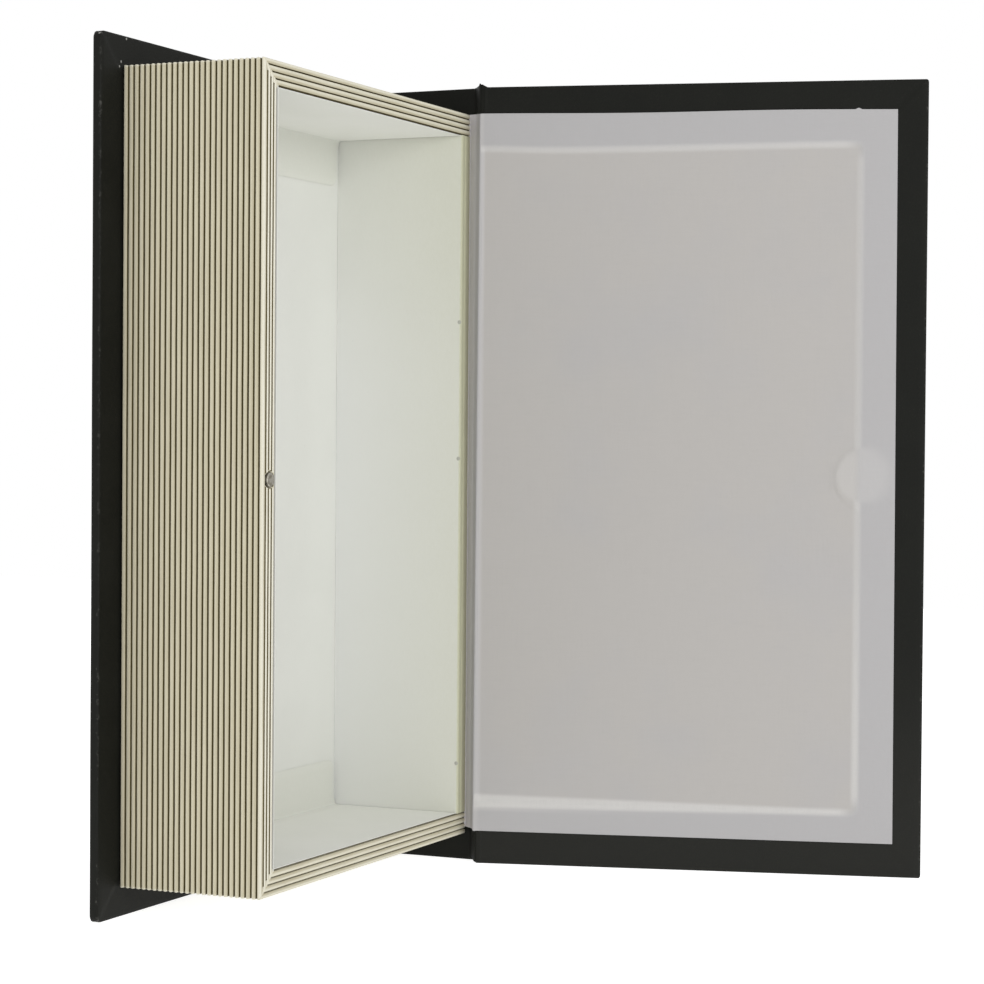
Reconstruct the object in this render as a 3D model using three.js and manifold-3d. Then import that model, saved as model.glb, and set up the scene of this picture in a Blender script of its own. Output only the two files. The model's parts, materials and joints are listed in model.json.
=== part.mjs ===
import * as THREE from "three";
import { mergeVertices } from "three/addons/utils/BufferGeometryUtils.js";
import Module from "manifold-3d";

// A hollow book for papers and keepsakes, standing on its tail edges with the front cover open.
// Millimetres. +X runs from the fore-edge to the spine, +Y from the tray's rim to the back cover,
// and +Z from tail to head. While the book is built, the rim is at y = 0, the spine side of the
// tray at x = 0 and the standing surface at z = 0. The finished group is then set down so that
// the part's origin is the middle of the back cover's tail edge.

// Covers and spine: stiff boards in one sheet of cloth
const coverHeight = 270;
const boardThickness = 1.8;
const clothThickness = 0.3;
const foreTurnIn = 21;
const endTurnIn = 20.1;
const jointWidth = 5.8;
const jointSlope = 1.2;

// Tray: page-edge walls on three sides, a plain wall at the spine
const trayWidth = 147;
const trayDepth = 49.5;
const headSquare = 9.2;
const foreSquare = 11.8;
const wallThickness = 7.45;
const spineWallThickness = 6.15;
const floorThickness = 0.3;

// Page bands milled into the walls, counted from the back of the face and the inside of the rim
const bandPitch = 1.92;
const grooveWidth = 0.6;
const grooveDepth = 0.8;
const grooveShoulder = 0.15;
const bandCrown = 0.12;

// Papers
const liningThickness = 0.3;
const liningFlap = 16.5;
const liningSetback = 0.3;
const endpaperThickness = 0.2;
const endpaperForeMargin = 9.7;
const endpaperHeadMargin = 10.4;
const endpaperSlope = 3;

// Closure: a magnet in the rim and a steel disc in the front cover
const magnetDiameter = 4.5;
const magnetLength = 5;
const magnetInset = 4.7;
const magnetSetback = 0.3;
const keeperDiameter = 19;
const keeperThickness = 1;
const keeperInset = 19.6;

// Hinge: the cover swings about a line in its cloth, in the middle of the joint
const hingeFromBoard = 2.3;
const openAngle = THREE.MathUtils.degToRad(104.8);

// Clearances
const glueLine = 0.25;
const closedClearance = 0.3;
const magnetFit = 0.15;

// Facets
const roundSegments = 40;
const ribbonSteps = 10;

// Worked out from the sizes above
const coverThickness = boardThickness + 2 * (clothThickness + glueLine);
const foreEdge = -(trayWidth + foreSquare);
const trayTail = headSquare;
const trayHead = coverHeight - headSquare;
const wallDepth = trayDepth - glueLine;
const backOuter = trayDepth + coverThickness;
const coverInner = -(closedClearance + endpaperThickness + glueLine);
const coverOuter = coverInner - coverThickness;
const spineInner = glueLine;
const spineOuter = spineInner + coverThickness;
const spineFront = coverOuter + closedClearance;
const jointFloor = trayDepth + 2 * clothThickness + glueLine;
const boardInset = clothThickness + glueLine;
const linedWall = wallThickness + glueLine + liningThickness;
const linedSpineWall = spineWallThickness + glueLine + liningThickness;
const floorTop = wallDepth - floorThickness;
const liningTop = floorTop - glueLine - liningThickness;
const midHeight = coverHeight / 2;
const hinge = new THREE.Vector2(hingeFromBoard - jointWidth, coverOuter);
const overcut = 1;

const finishes = {
  cloth: { color: 0x24241f, roughness: 0.72, metalness: 0 },
  board: { color: 0x8d877b, roughness: 0.95, metalness: 0 },
  pages: { color: 0xd8d2bb, roughness: 0.7, metalness: 0 },
  timber: { color: 0xb0ab86, roughness: 0.8, metalness: 0 },
  lining: { color: 0xcfd1c6, roughness: 0.85, metalness: 0 },
  endpaper: { color: 0xb4b1ae, roughness: 0.9, metalness: 0 },
  magnet: { color: 0x9a978f, roughness: 0.35, metalness: 1 },
  steel: { color: 0xa3a4a6, roughness: 0.4, metalness: 1 },
};

const wasm = await Module();
wasm.setup();

/** A closed geometry as a manifold-3d solid. */
function solidOf(geometry) {
  const bare = geometry.clone();
  bare.deleteAttribute("normal");
  bare.deleteAttribute("uv");
  const merged = mergeVertices(bare, 1e-4);
  return new wasm.Manifold(
    new wasm.Mesh({
      numProp: 3,
      vertProperties: new Float32Array(merged.attributes.position.array),
      triVerts: new Uint32Array(merged.index.array),
    }),
  );
}

/** A manifold-3d solid as a geometry. */
function geometryOf(solid) {
  const mesh = solid.getMesh();
  const geometry = new THREE.BufferGeometry();
  geometry.setAttribute("position", new THREE.BufferAttribute(new Float32Array(mesh.vertProperties), 3));
  geometry.setIndex(new THREE.BufferAttribute(new Uint32Array(mesh.triVerts), 1));
  geometry.computeVertexNormals();
  return geometry;
}

/** The first geometry joined with all of added, less all of cut. */
function combined(first, added, cut) {
  let solid = solidOf(first);
  for (const geometry of added) solid = solid.add(solidOf(geometry));
  for (const geometry of cut) solid = solid.subtract(solidOf(geometry));
  return geometryOf(solid);
}

/** A rectangular block between two corners. */
function block(low, high) {
  const [x0, y0, z0] = low;
  const [x1, y1, z1] = high;
  const geometry = new THREE.BoxGeometry(x1 - x0, y1 - y0, z1 - z0);
  return geometry.translate((x0 + x1) / 2, (y0 + y1) / 2, (z0 + z1) / 2);
}

/** A prism along Z with an outline of [x, y] points. */
function prism(outline, bottom, top) {
  const shape = new THREE.Shape(outline.map(([x, y]) => new THREE.Vector2(x, y)));
  const geometry = new THREE.ExtrudeGeometry(shape, { depth: top - bottom, bevelEnabled: false });
  return geometry.translate(0, 0, bottom);
}

/** A round bar along Y about (x, z), from y0 to y1. */
function bar(radius, x, z, y0, y1) {
  const geometry = new THREE.CylinderGeometry(radius, radius, y1 - y0, roundSegments);
  return geometry.translate(x, (y0 + y1) / 2, z);
}

/** An outline moved inwards by a distance, with sharp corners kept. */
function inset(outline, distance) {
  const count = outline.length;
  return outline.map(([x, y], index) => {
    const [px, py] = outline[(index + count - 1) % count];
    const [nx, ny] = outline[(index + 1) % count];
    const before = new THREE.Vector2(x - px, y - py).normalize();
    const after = new THREE.Vector2(nx - x, ny - y).normalize();
    const reach = distance / (1 + before.dot(after));
    return [x - (before.y + after.y) * reach, y + (before.x + after.x) * reach];
  });
}

/** A strip of even thickness along a plane curve, set off to its left, from one height to another. */
function ribbon(curve, thickness, offset, bottom, top) {
  const left = [];
  const right = [];
  for (let step = 0; step <= ribbonSteps; step += 1) {
    const share = step / ribbonSteps;
    const point = curve.getPoint(share);
    const along = curve.getTangent(share);
    const normal = new THREE.Vector2(-along.y, along.x);
    const outer = point.clone().addScaledVector(normal, offset + thickness / 2);
    const inner = point.clone().addScaledVector(normal, offset - thickness / 2);
    left.push([outer.x, outer.y]);
    right.unshift([inner.x, inner.y]);
  }
  return prism([...right.reverse(), ...left.reverse()], bottom, top);
}

/** Where a point of the closed cover stands with the cover open. */
function swung(x, y) {
  return new THREE.Vector2(x, y).rotateAround(hinge, openAngle);
}

/** A named piece with a finish of its own. */
function piece(name, geometry, finish) {
  const mesh = new THREE.Mesh(geometry, new THREE.MeshStandardMaterial(finishes[finish]));
  mesh.name = name;
  return mesh;
}

/** The depth profile of one groove, as [distance from its middle, depth] pairs. */
function grooveProfile() {
  const half = grooveWidth / 2;
  return [
    [-half - grooveShoulder, bandCrown],
    [-half, bandCrown + grooveShoulder],
    [-half / 2, grooveDepth],
    [half / 2, grooveDepth],
    [half, bandCrown + grooveShoulder],
    [half + grooveShoulder, bandCrown],
  ];
}

/** One edge of a banded wall, as [distance along it, depth], with half a groove at its far end. */
function bandedEdge(length) {
  const count = Math.floor((length - grooveWidth) / bandPitch);
  const points = [[grooveShoulder, 0]];
  for (let left = count; left >= 0; left -= 1) {
    const middle = length - left * bandPitch;
    points.push([Math.max(middle - bandPitch / 2, middle / 2), 0]);
    for (const [along, depth] of grooveProfile()) {
      if (left > 0 || along < 0) points.push([middle + along, depth]);
    }
  }
  points.push([length, grooveDepth]);
  return points;
}

/** The section of a page-edge wall: x inwards from its outer face, y from the rim to the back. */
function wallOutline() {
  const face = bandedEdge(wallDepth).map(([along, depth]) => [depth, along]);
  return [...face.reverse(), ...bandedEdge(wallThickness), [wallThickness, wallDepth]];
}

/** A page-edge wall along Z, with each end mitred or square. */
function pageWall(length, mitredStart, mitredEnd) {
  const geometry = prism(wallOutline(), 0, length);
  const position = geometry.attributes.position;
  const seam = (glueLine * Math.SQRT2) / 2;
  for (let index = 0; index < position.count; index += 1) {
    const across = position.getX(index) + seam;
    const atEnd = position.getZ(index) > length / 2;
    if (atEnd && mitredEnd) position.setZ(index, length - across);
    if (!atEnd && mitredStart) position.setZ(index, across);
  }
  geometry.computeVertexNormals();
  return geometry;
}

/** The grooved wall at the fore-edge, with a round seat for the magnet in its rim. */
function foreEdgeWall() {
  const wall = pageWall(trayHead - trayTail, true, true).translate(-trayWidth, 0, trayTail);
  const seatRadius = magnetDiameter / 2 + magnetFit;
  const seatDepth = magnetSetback + magnetLength + magnetFit;
  const seat = bar(seatRadius, magnetInset - trayWidth, midHeight, -overcut, seatDepth);
  return piece("fore_edge_wall", combined(wall, [], [seat]), "pages");
}

/** The grooved wall at the head, mitred to the fore-edge wall. */
function headWall() {
  const wall = piece("head_wall", pageWall(trayWidth, true, false), "pages");
  wall.rotation.y = Math.PI / 2;
  wall.position.set(-trayWidth, 0, trayHead);
  return wall;
}

/** The grooved wall at the tail, mitred to the fore-edge wall. */
function tailWall() {
  const wall = piece("tail_wall", pageWall(trayWidth, false, true), "pages");
  wall.rotation.y = -Math.PI / 2;
  wall.position.set(0, 0, trayTail);
  return wall;
}

/** The plain wall between the head and tail walls, at the spine. */
function spineWall() {
  const bottom = trayTail + wallThickness + glueLine;
  const top = trayHead - wallThickness - glueLine;
  return piece("spine_wall", block([-spineWallThickness, 0, bottom], [0, wallDepth, top]), "timber");
}

/** The card that closes the tray, between its walls and against the back cover. */
function floorCard() {
  const edge = wallThickness + glueLine;
  const low = [edge - trayWidth, floorTop, trayTail + edge];
  const high = [-spineWallThickness - glueLine, wallDepth, trayHead - edge];
  return piece("floor_card", block(low, high), "board");
}

/** The paper on the tray's floor. */
function floorLining() {
  const edge = wallThickness + glueLine;
  const low = [edge - trayWidth, liningTop, trayTail + edge];
  const high = [-spineWallThickness - glueLine, floorTop - glueLine, trayHead - edge];
  return piece("floor_lining", block(low, high), "lining");
}

/** The paper on the inside of the fore-edge wall. */
function foreEdgeLining() {
  const edge = wallThickness + glueLine;
  const low = [edge - trayWidth, liningSetback, trayTail + edge];
  const high = [linedWall - trayWidth, liningTop - glueLine, trayHead - edge];
  return piece("fore_edge_lining", block(low, high), "lining");
}

/** The paper on the inside of the spine wall. */
function spineLining() {
  const edge = wallThickness + glueLine;
  const low = [-linedSpineWall, liningSetback, trayTail + edge];
  const high = [-spineWallThickness - glueLine, liningTop - glueLine, trayHead - edge];
  return piece("spine_lining", block(low, high), "lining");
}

/** The paper on an end wall, folded onto the floor. The wall's face is at z, and inwards is 1 or -1. */
function endLining(name, z, inwards) {
  const x0 = linedWall + glueLine - trayWidth;
  const x1 = -linedSpineWall - glueLine;
  const face = z + inwards * glueLine;
  const back = face + inwards * liningThickness;
  const tip = face + inwards * liningFlap;
  const flapTop = liningTop - glueLine - liningThickness;
  const flapBottom = liningTop - glueLine;
  const upright = block([x0, liningSetback, Math.min(face, back)], [x1, flapBottom, Math.max(face, back)]);
  const flap = block([x0, flapTop, Math.min(face, tip)], [x1, flapBottom, Math.max(face, tip)]);
  return piece(name, combined(upright, [flap], []), "lining");
}

/** The magnet let into the rim at mid-height. */
function rimMagnet() {
  const back = magnetSetback + magnetLength;
  const magnet = bar(magnetDiameter / 2, magnetInset - trayWidth, midHeight, magnetSetback, back);
  return piece("rim_magnet", magnet, "magnet");
}

/** The board in the back cover. */
function backBoard() {
  const low = [foreEdge + boardInset, trayDepth + boardInset, boardInset];
  const high = [-jointWidth - boardInset, backOuter - boardInset, coverHeight - boardInset];
  return piece("back_board", block(low, high), "board");
}

/** The board in the spine. */
function spineBoard() {
  const low = [spineInner + boardInset, spineFront + boardInset, boardInset];
  const high = [spineOuter - boardInset, backOuter - boardInset, coverHeight - boardInset];
  return piece("spine_board", block(low, high), "board");
}

/** The cloth round the back board, across the grooved back joint and round the spine board. */
function caseCloth() {
  const outline = [
    [foreEdge, trayDepth],
    [spineInner, trayDepth],
    [spineInner, spineFront],
    [spineOuter, spineFront],
    [spineOuter, backOuter],
    [spineInner, backOuter],
    [spineInner - jointSlope, jointFloor],
    [jointSlope - jointWidth, jointFloor],
    [-jointWidth, backOuter],
    [foreEdge, backOuter],
  ];
  const innerFace = [
    [foreEdge + foreTurnIn, trayDepth - overcut],
    [spineInner - overcut, trayDepth - overcut],
    [spineInner - overcut, spineFront + clothThickness],
    [spineInner + clothThickness, spineFront + clothThickness],
    [spineInner + clothThickness, trayDepth + clothThickness],
    [foreEdge + foreTurnIn, trayDepth + clothThickness],
  ];
  const envelope = prism(outline, 0, coverHeight);
  const boards = prism(inset(outline, clothThickness), clothThickness, coverHeight - clothThickness);
  const window = prism(innerFace, endTurnIn, coverHeight - endTurnIn);
  return piece("case_cloth", combined(envelope, [], [boards, window]), "cloth");
}

/** A round bar through the front cover where the steel disc lies, wider than the disc by a gap. */
function keeperBar(gap, y0, y1) {
  return bar(keeperDiameter / 2 + gap, foreEdge + keeperInset, midHeight, y0, y1);
}

/** The board in the front cover, with a seat for the steel disc. */
function frontBoard() {
  const low = [foreEdge + boardInset, coverOuter + boardInset, boardInset];
  const high = [-jointWidth - glueLine, coverInner - boardInset, coverHeight - boardInset];
  const seat = keeperBar(glueLine, coverInner - keeperThickness - glueLine, coverInner + overcut);
  return piece("front_board", combined(block(low, high), [], [seat]), "board");
}

/** The cloth round the front board, open at the joint and notched for the steel disc. */
function frontCoverCloth() {
  const past = overcut - jointWidth;
  const envelope = block([foreEdge, coverOuter, 0], [-jointWidth, coverInner, coverHeight]);
  const boards = block(
    [foreEdge + clothThickness, coverOuter + clothThickness, clothThickness],
    [past, coverInner - clothThickness, coverHeight - clothThickness],
  );
  const window = block(
    [foreEdge + foreTurnIn, coverInner - boardInset, endTurnIn],
    [past, coverInner + overcut, coverHeight - endTurnIn],
  );
  const notch = keeperBar(glueLine, coverInner - boardInset, coverInner + overcut);
  return piece("front_cover_cloth", combined(envelope, [], [boards, window, notch]), "cloth");
}

/** The steel disc that the magnet holds, under the endpaper. */
function keeperDisc() {
  return piece("keeper_disc", keeperBar(0, coverInner - keeperThickness, coverInner), "steel");
}

/** A prism along X with an outline of [y, z] points. */
function crossPrism(outline, x0, x1) {
  const swapped = outline.map(([y, z]) => [z, y]);
  const geometry = prism(swapped, 0, x1 - x0);
  geometry.rotateY(-Math.PI / 2);
  return geometry.translate(x1, 0, 0);
}

/** The shallow dish that the endpaper makes inside the turned-in cloth, sunk from a level. */
function endpaperDish(level) {
  const depth = clothThickness + glueLine;
  const fore = foreEdge + foreTurnIn;
  const tail = endTurnIn;
  const head = coverHeight - endTurnIn;
  const past = overcut - jointWidth;
  const across = [
    [fore, level],
    [fore + endpaperSlope, level - depth],
    [past, level - depth],
    [past, level],
  ];
  const upright = [
    [level, tail],
    [level, head],
    [level - depth, head - endpaperSlope],
    [level - depth, tail + endpaperSlope],
  ];
  const sides = solidOf(prism(across, tail, head));
  return sides.intersect(solidOf(crossPrism(upright, fore, past)));
}

/** All that lies between the board and one face of the endpaper, where level is the face's height. */
function underEndpaper(level) {
  const low = [foreEdge + endpaperForeMargin, coverInner - coverThickness, endpaperHeadMargin];
  const high = [-jointWidth, level, coverHeight - endpaperHeadMargin];
  return solidOf(block(low, high)).subtract(endpaperDish(level));
}

/** The paper on the inside of the front cover. It dips where the turned-in cloth ends under it. */
function frontEndpaper() {
  const bottom = coverInner + glueLine;
  const top = bottom + endpaperThickness;
  const fieldBottom = coverInner - clothThickness;
  const sheet = underEndpaper(top).subtract(underEndpaper(bottom));
  const inField = block(
    [foreEdge + foreTurnIn + glueLine, fieldBottom, endTurnIn],
    [-jointWidth, top, coverHeight - endTurnIn],
  );
  const boss = solidOf(keeperBar(glueLine + endpaperThickness, fieldBottom, top));
  const pocket = solidOf(keeperBar(glueLine, fieldBottom - overcut, bottom));
  const made = sheet.add(boss.intersect(solidOf(inField))).subtract(pocket);
  return piece("front_endpaper", geometryOf(made), "endpaper");
}

/** The cloth across the front joint, folded in at head and tail. */
function jointCloth() {
  const start = new THREE.Vector2(spineInner - glueLine, spineFront + clothThickness / 2);
  const end = swung(glueLine - jointWidth, coverOuter + clothThickness / 2);
  const nearSpine = new THREE.Vector2(start.x - jointSlope, start.y);
  const nearBoard = swung(glueLine + jointSlope / 2 - jointWidth, coverOuter + clothThickness / 2);
  const curve = new THREE.CubicBezierCurve(start, nearSpine, nearBoard, end);
  const layer = clothThickness + glueLine;
  const fold = layer + clothThickness;
  const sheet = ribbon(curve, clothThickness, 0, 0, coverHeight);
  const folds = [
    ribbon(curve, clothThickness, -layer, 0, endTurnIn),
    ribbon(curve, clothThickness, -layer, coverHeight - endTurnIn, coverHeight),
    ribbon(curve, fold, -layer / 2, 0, clothThickness),
    ribbon(curve, fold, -layer / 2, coverHeight - clothThickness, coverHeight),
  ];
  return piece("joint_cloth", combined(sheet, folds, []), "cloth");
}

/** The endpaper across the front joint, from the tray's spine corner to the front cover. */
function jointEndpaper() {
  const level = coverInner + glueLine + endpaperThickness / 2;
  const start = new THREE.Vector2(-endpaperThickness / 2, level - endpaperThickness);
  const end = swung(glueLine - jointWidth, level);
  const nearTray = start.clone().lerp(end, 1 / 3);
  const nearCover = start.clone().lerp(end, 2 / 3);
  const curve = new THREE.CubicBezierCurve(start, nearTray, nearCover, end);
  const sheet = ribbon(curve, endpaperThickness, 0, endpaperHeadMargin, coverHeight - endpaperHeadMargin);
  return piece("joint_endpaper", sheet, "endpaper");
}

const book = new THREE.Group();
book.add(backBoard(), spineBoard(), caseCloth());
book.add(foreEdgeWall(), headWall(), tailWall(), spineWall(), floorCard());
book.add(floorLining(), foreEdgeLining(), spineLining());
book.add(endLining("head_lining", trayHead - wallThickness, -1));
book.add(endLining("tail_lining", trayTail + wallThickness, 1));
book.add(rimMagnet(), jointCloth(), jointEndpaper());

const closedCover = new THREE.Group();
closedCover.add(frontBoard(), frontCoverCloth(), frontEndpaper(), keeperDisc());
closedCover.position.set(-hinge.x, -hinge.y, 0);

const cover = new THREE.Group();
cover.add(closedCover);
cover.position.set(hinge.x, hinge.y, 0);
cover.rotation.z = openAngle;
book.add(cover);

book.position.set(-(foreEdge - jointWidth) / 2, -(trayDepth + backOuter) / 2, 0);

const part = new THREE.Group();
part.add(book);

export default part;
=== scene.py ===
"""A hollow book box that stands on its tail edges with its front cover open.

Lengths are in metres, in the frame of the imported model: +X runs towards the spine, +Y out of the
back cover and +Z up to the head. The pieces of the front cover are drawn as if it were shut, and
each of their objects then swings open about the hinge.
"""

import json
import logging
import math
from dataclasses import dataclass
from enum import Enum
from typing import Any, Callable, Optional, Sequence, Union

import bmesh
import bpy
import numpy as np
from mathutils import Matrix, Vector, noise


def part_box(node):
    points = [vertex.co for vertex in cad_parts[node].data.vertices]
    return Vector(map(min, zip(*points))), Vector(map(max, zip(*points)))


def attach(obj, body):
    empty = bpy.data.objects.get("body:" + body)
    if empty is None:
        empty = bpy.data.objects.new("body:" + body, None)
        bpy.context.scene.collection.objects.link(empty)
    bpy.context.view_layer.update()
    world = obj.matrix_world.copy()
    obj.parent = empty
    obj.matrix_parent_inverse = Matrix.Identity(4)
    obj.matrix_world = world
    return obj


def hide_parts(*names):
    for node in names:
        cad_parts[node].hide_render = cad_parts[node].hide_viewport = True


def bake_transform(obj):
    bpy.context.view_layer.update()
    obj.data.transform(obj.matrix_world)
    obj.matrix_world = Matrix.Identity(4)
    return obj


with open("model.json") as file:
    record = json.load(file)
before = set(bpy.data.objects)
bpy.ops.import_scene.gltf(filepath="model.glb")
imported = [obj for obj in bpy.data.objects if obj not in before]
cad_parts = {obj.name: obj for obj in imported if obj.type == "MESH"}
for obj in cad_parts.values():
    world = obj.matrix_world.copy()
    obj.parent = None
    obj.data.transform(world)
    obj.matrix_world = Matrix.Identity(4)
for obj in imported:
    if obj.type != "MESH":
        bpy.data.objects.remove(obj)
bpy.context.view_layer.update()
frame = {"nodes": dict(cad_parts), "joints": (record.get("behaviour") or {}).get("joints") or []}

log = logging.getLogger("book_box")

MM = 0.001
TINY = 1e-7
Colour = tuple[float, float, float]
Spot = tuple[float, float, float]
Flat = tuple[float, float]
# A multiplier for each axis
Scale = tuple[float, float, float]
Outline = list[Vector]
# A section's corner: its two coordinates and its radius
Corner = tuple[float, float, float]
Curve = Callable[[float], float]
Piece = bpy.types.Object
Material = bpy.types.Material
# Where a change starts and where it ends
Span = tuple[float, float]
# A noise's humps to the metre, its finer layers and their strength
Noise = tuple[float, float, float]

WHITE: Colour = (1.0, 1.0, 1.0)
SEEN_RAYS = ("Is Camera Ray", "Is Glossy Ray", "Is Transmission Ray")


class Body(Enum):
    """The moving bodies that a piece can ride on."""

    CASE = "case"
    COVER = "front_cover"


class Slot(Enum):
    """The record's material slots that the new pieces wear."""

    CLOTH = "book_cloth"
    BOARD = "board"
    PAGES = "page_edge"
    LINING = "lining_paper"
    ENDPAPER = "endpaper"
    MAGNET = "magnet"


# Small sums


def smooth(value: float, low: float, high: float) -> float:
    """0 up to low and 1 from high on, with an S-shaped rise between them."""
    share = min(max((value - low) / (high - low), 0.0), 1.0)
    return share * share * (3.0 - 2.0 * share)


def ripple(x: float, y: float, size: float, seed: float) -> float:
    """Smooth noise from about -1 to 1 whose humps are about size wide."""
    return noise.noise(Vector((x / size, y / size, seed)))


def steps_between(low: float, high: float, gap: float) -> list[float]:
    """Evenly spaced numbers from low to high, no further apart than gap."""
    count = max(1, math.ceil((high - low) / gap - TINY))
    return [low + (high - low) * index / count for index in range(count + 1)]


def chain(marks: Sequence[float], gaps: Sequence[float]) -> list[float]:
    """Numbers that pass through all marks.

    Args:
        marks: The marks, from low to high.
        gaps: The widest gap allowed in each stretch between two marks.

    Returns:
        The numbers.
    """
    made = [marks[0]]
    for low, high, gap in zip(marks, marks[1:], gaps):
        made += steps_between(low, high, gap)[1:]
    return made


def widened(span: Span, by: Span, share: float) -> Span:
    """A span whose ends are moved by a share of two lengths."""
    return span[0] + by[0] * share, span[1] + by[1] * share


def circle(steps: int = 48) -> list[Flat]:
    """Points of a circle of radius 1."""
    angles = [2 * math.pi * step / steps for step in range(steps)]
    return [(math.cos(angle), math.sin(angle)) for angle in angles]


def quarter(radius: float, steps: int) -> list[Flat]:
    """Points of a quarter round, each as its distance from the one side and from the other."""
    angles = [math.pi / 2 * step / steps for step in range(steps + 1)]
    return [(radius * (1 - math.cos(angle)), radius * (1 - math.sin(angle))) for angle in angles]


# Meshes


class Surface:
    """Points, faces and point values on their way to a mesh object."""

    def __init__(self, name: str) -> None:
        """Start an empty surface.

        Args:
            name: The name of the object that it will make.
        """
        self.name = name
        self.points: list[Spot] = []
        self.faces: list[tuple[int, ...]] = []
        self.values: dict[str, dict[int, float]] = {}

    def point(self, place: Sequence[float], **values: float) -> int:
        """Add a point.

        Args:
            place: Its three coordinates.
            **values: What the finish needs to know there, such as how rubbed the edge is.

        Returns:
            The point's number.
        """
        self.points.append((place[0], place[1], place[2]))
        number = len(self.points) - 1
        for key, value in values.items():
            self.values.setdefault(key, {})[number] = value
        return number

    def band(self, first: Sequence[int], second: Sequence[int], closed: bool = False) -> None:
        """Join two rows of points with faces.

        Args:
            first: The numbers of one row.
            second: The numbers of the other row, as many.
            closed: Whether each row runs back to its own start.
        """
        count = len(first)
        for index in range(count if closed else count - 1):
            after = (index + 1) % count
            self.faces.append((first[index], first[after], second[after], second[index]))

    def grid(self, rows: Sequence[Sequence[int]], closed: bool = False) -> None:
        """Join each row of points to the next one."""
        for first, second in zip(rows, rows[1:]):
            self.band(first, second, closed)

    def tube(self, rings: Sequence[Sequence[int]]) -> None:
        """Join each closed ring of points to the next one, and close both ends."""
        self.grid(rings, closed=True)
        self.faces += [tuple(rings[0]), tuple(rings[-1])]

    def make(self, weld: float = 0.004 * MM) -> Piece:
        """Make the mesh object, with doubled points welded and all faces outwards.

        Args:
            weld: Points closer together than this become one.

        Returns:
            The new object, linked to the scene.
        """
        mesh = bpy.data.meshes.new(self.name)
        mesh.from_pydata(self.points, [], self.faces)
        for key, values in self.values.items():
            layer = mesh.attributes.new(key, "FLOAT", "POINT")
            layer.data.foreach_set("value", [values.get(n, 0.0) for n in range(len(self.points))])
        shape = bmesh.new()
        shape.from_mesh(mesh)
        bmesh.ops.remove_doubles(shape, verts=shape.verts, dist=weld)
        wide = [face for face in shape.faces if len(face.verts) > 4]
        bmesh.ops.triangulate(shape, faces=wide, ngon_method="BEAUTY")
        bmesh.ops.recalc_face_normals(shape, faces=shape.faces)
        if shape.calc_volume(signed=True) < 0:
            bmesh.ops.reverse_faces(shape, faces=shape.faces)
        shape.to_mesh(mesh)
        shape.free()
        made = bpy.data.objects.new(self.name, mesh)
        bpy.context.scene.collection.objects.link(made)
        return made


def dress(finish: Material, *nodes: str) -> None:
    """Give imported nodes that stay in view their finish.

    Args:
        finish: The material.
        *nodes: The nodes' names.
    """
    for node in nodes:
        materials = frame["nodes"][node].data.materials
        materials.clear()
        materials.append(finish)


def settle(piece: Piece) -> None:
    """Turn a piece's modifiers into its own mesh.

    Args:
        piece: The piece.
    """
    graph = bpy.context.evaluated_depsgraph_get()
    made = bpy.data.meshes.new_from_object(piece.evaluated_get(graph))
    piece.modifiers.clear()
    piece.data = made


def thicken(piece: Piece, thickness: float) -> None:
    """Give a sheet its thickness, on the side away from its faces.

    Args:
        piece: A sheet whose faces all look out of its good side.
        thickness: How thick the sheet is.
    """
    modifier = piece.modifiers.new("thickness", "SOLIDIFY")
    modifier.thickness = thickness
    modifier.offset = -1.0
    settle(piece)


def face_towards(piece: Piece, way: Vector) -> None:
    """Turn all of a flat sheet's faces over if they don't look the right way.

    Args:
        piece: The sheet.
        way: Where its good side looks.
    """
    total = Vector()
    for polygon in piece.data.polygons:
        total += polygon.normal * polygon.area
    if total.dot(way) < 0:
        piece.data.flip_normals()


def shade(piece: Piece, sharp_degrees: float = 38.0) -> None:
    """Shade the piece smoothly, apart from edges sharper than an angle."""
    piece.data.polygons.foreach_set("use_smooth", [True] * len(piece.data.polygons))
    piece.data.set_sharp_from_angle(angle=math.radians(sharp_degrees))


def fillet(corners: Sequence[Corner], steps: int = 5) -> Outline:
    """Round the corners of a closed outline.

    Args:
        corners: The corners, in order.
        steps: How many straight stretches an arc has.

    Returns:
        The outline's points.
    """
    count = len(corners)
    outline: Outline = []
    for index, (x, y, radius) in enumerate(corners):
        here = Vector((x, y))
        before = (Vector(corners[index - 1][:2]) - here).normalized()
        after = (Vector(corners[(index + 1) % count][:2]) - here).normalized()
        half = before.angle(after) / 2
        if radius <= 0:
            outline.append(here)
            continue
        middle = here + (before + after).normalized() * (radius / math.sin(half))
        start = here + before * (radius / math.tan(half)) - middle
        end = here + after * (radius / math.tan(half)) - middle
        turn = start.angle_signed(end)
        for step in range(steps + 1):
            outline.append(middle + Matrix.Rotation(-turn * step / steps, 2) @ start)
    return outline


def spaced(outline: Outline, gap: Callable[[Vector], float], slack: float = 1.5) -> Outline:
    """Add points to an outline's long straight stretches.

    Args:
        outline: A closed outline.
        gap: The step wanted near a point.
        slack: How many steps long the last one may be.

    Returns:
        The outline with points added.
    """
    made: Outline = []
    for here, after in zip(outline, outline[1:] + outline[:1]):
        made.append(here)
        reach = here
        while (after - reach).length > gap(reach) * slack:
            reach = reach + (after - reach).normalized() * gap(reach)
            made.append(reach)
    return made


def normals_of(outline: Outline) -> list[Vector]:
    """The outward directions at the points of a closed outline.

    Args:
        outline: The outline, which runs anticlockwise.

    Returns:
        A direction for each of its points.
    """
    made = []
    for index, here in enumerate(outline):
        before = (here - outline[index - 1]).normalized()
        after = (outline[(index + 1) % len(outline)] - here).normalized()
        along = before + after
        made.append(Vector((along.y, -along.x)).normalized())
    return made


# Shaders


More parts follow.
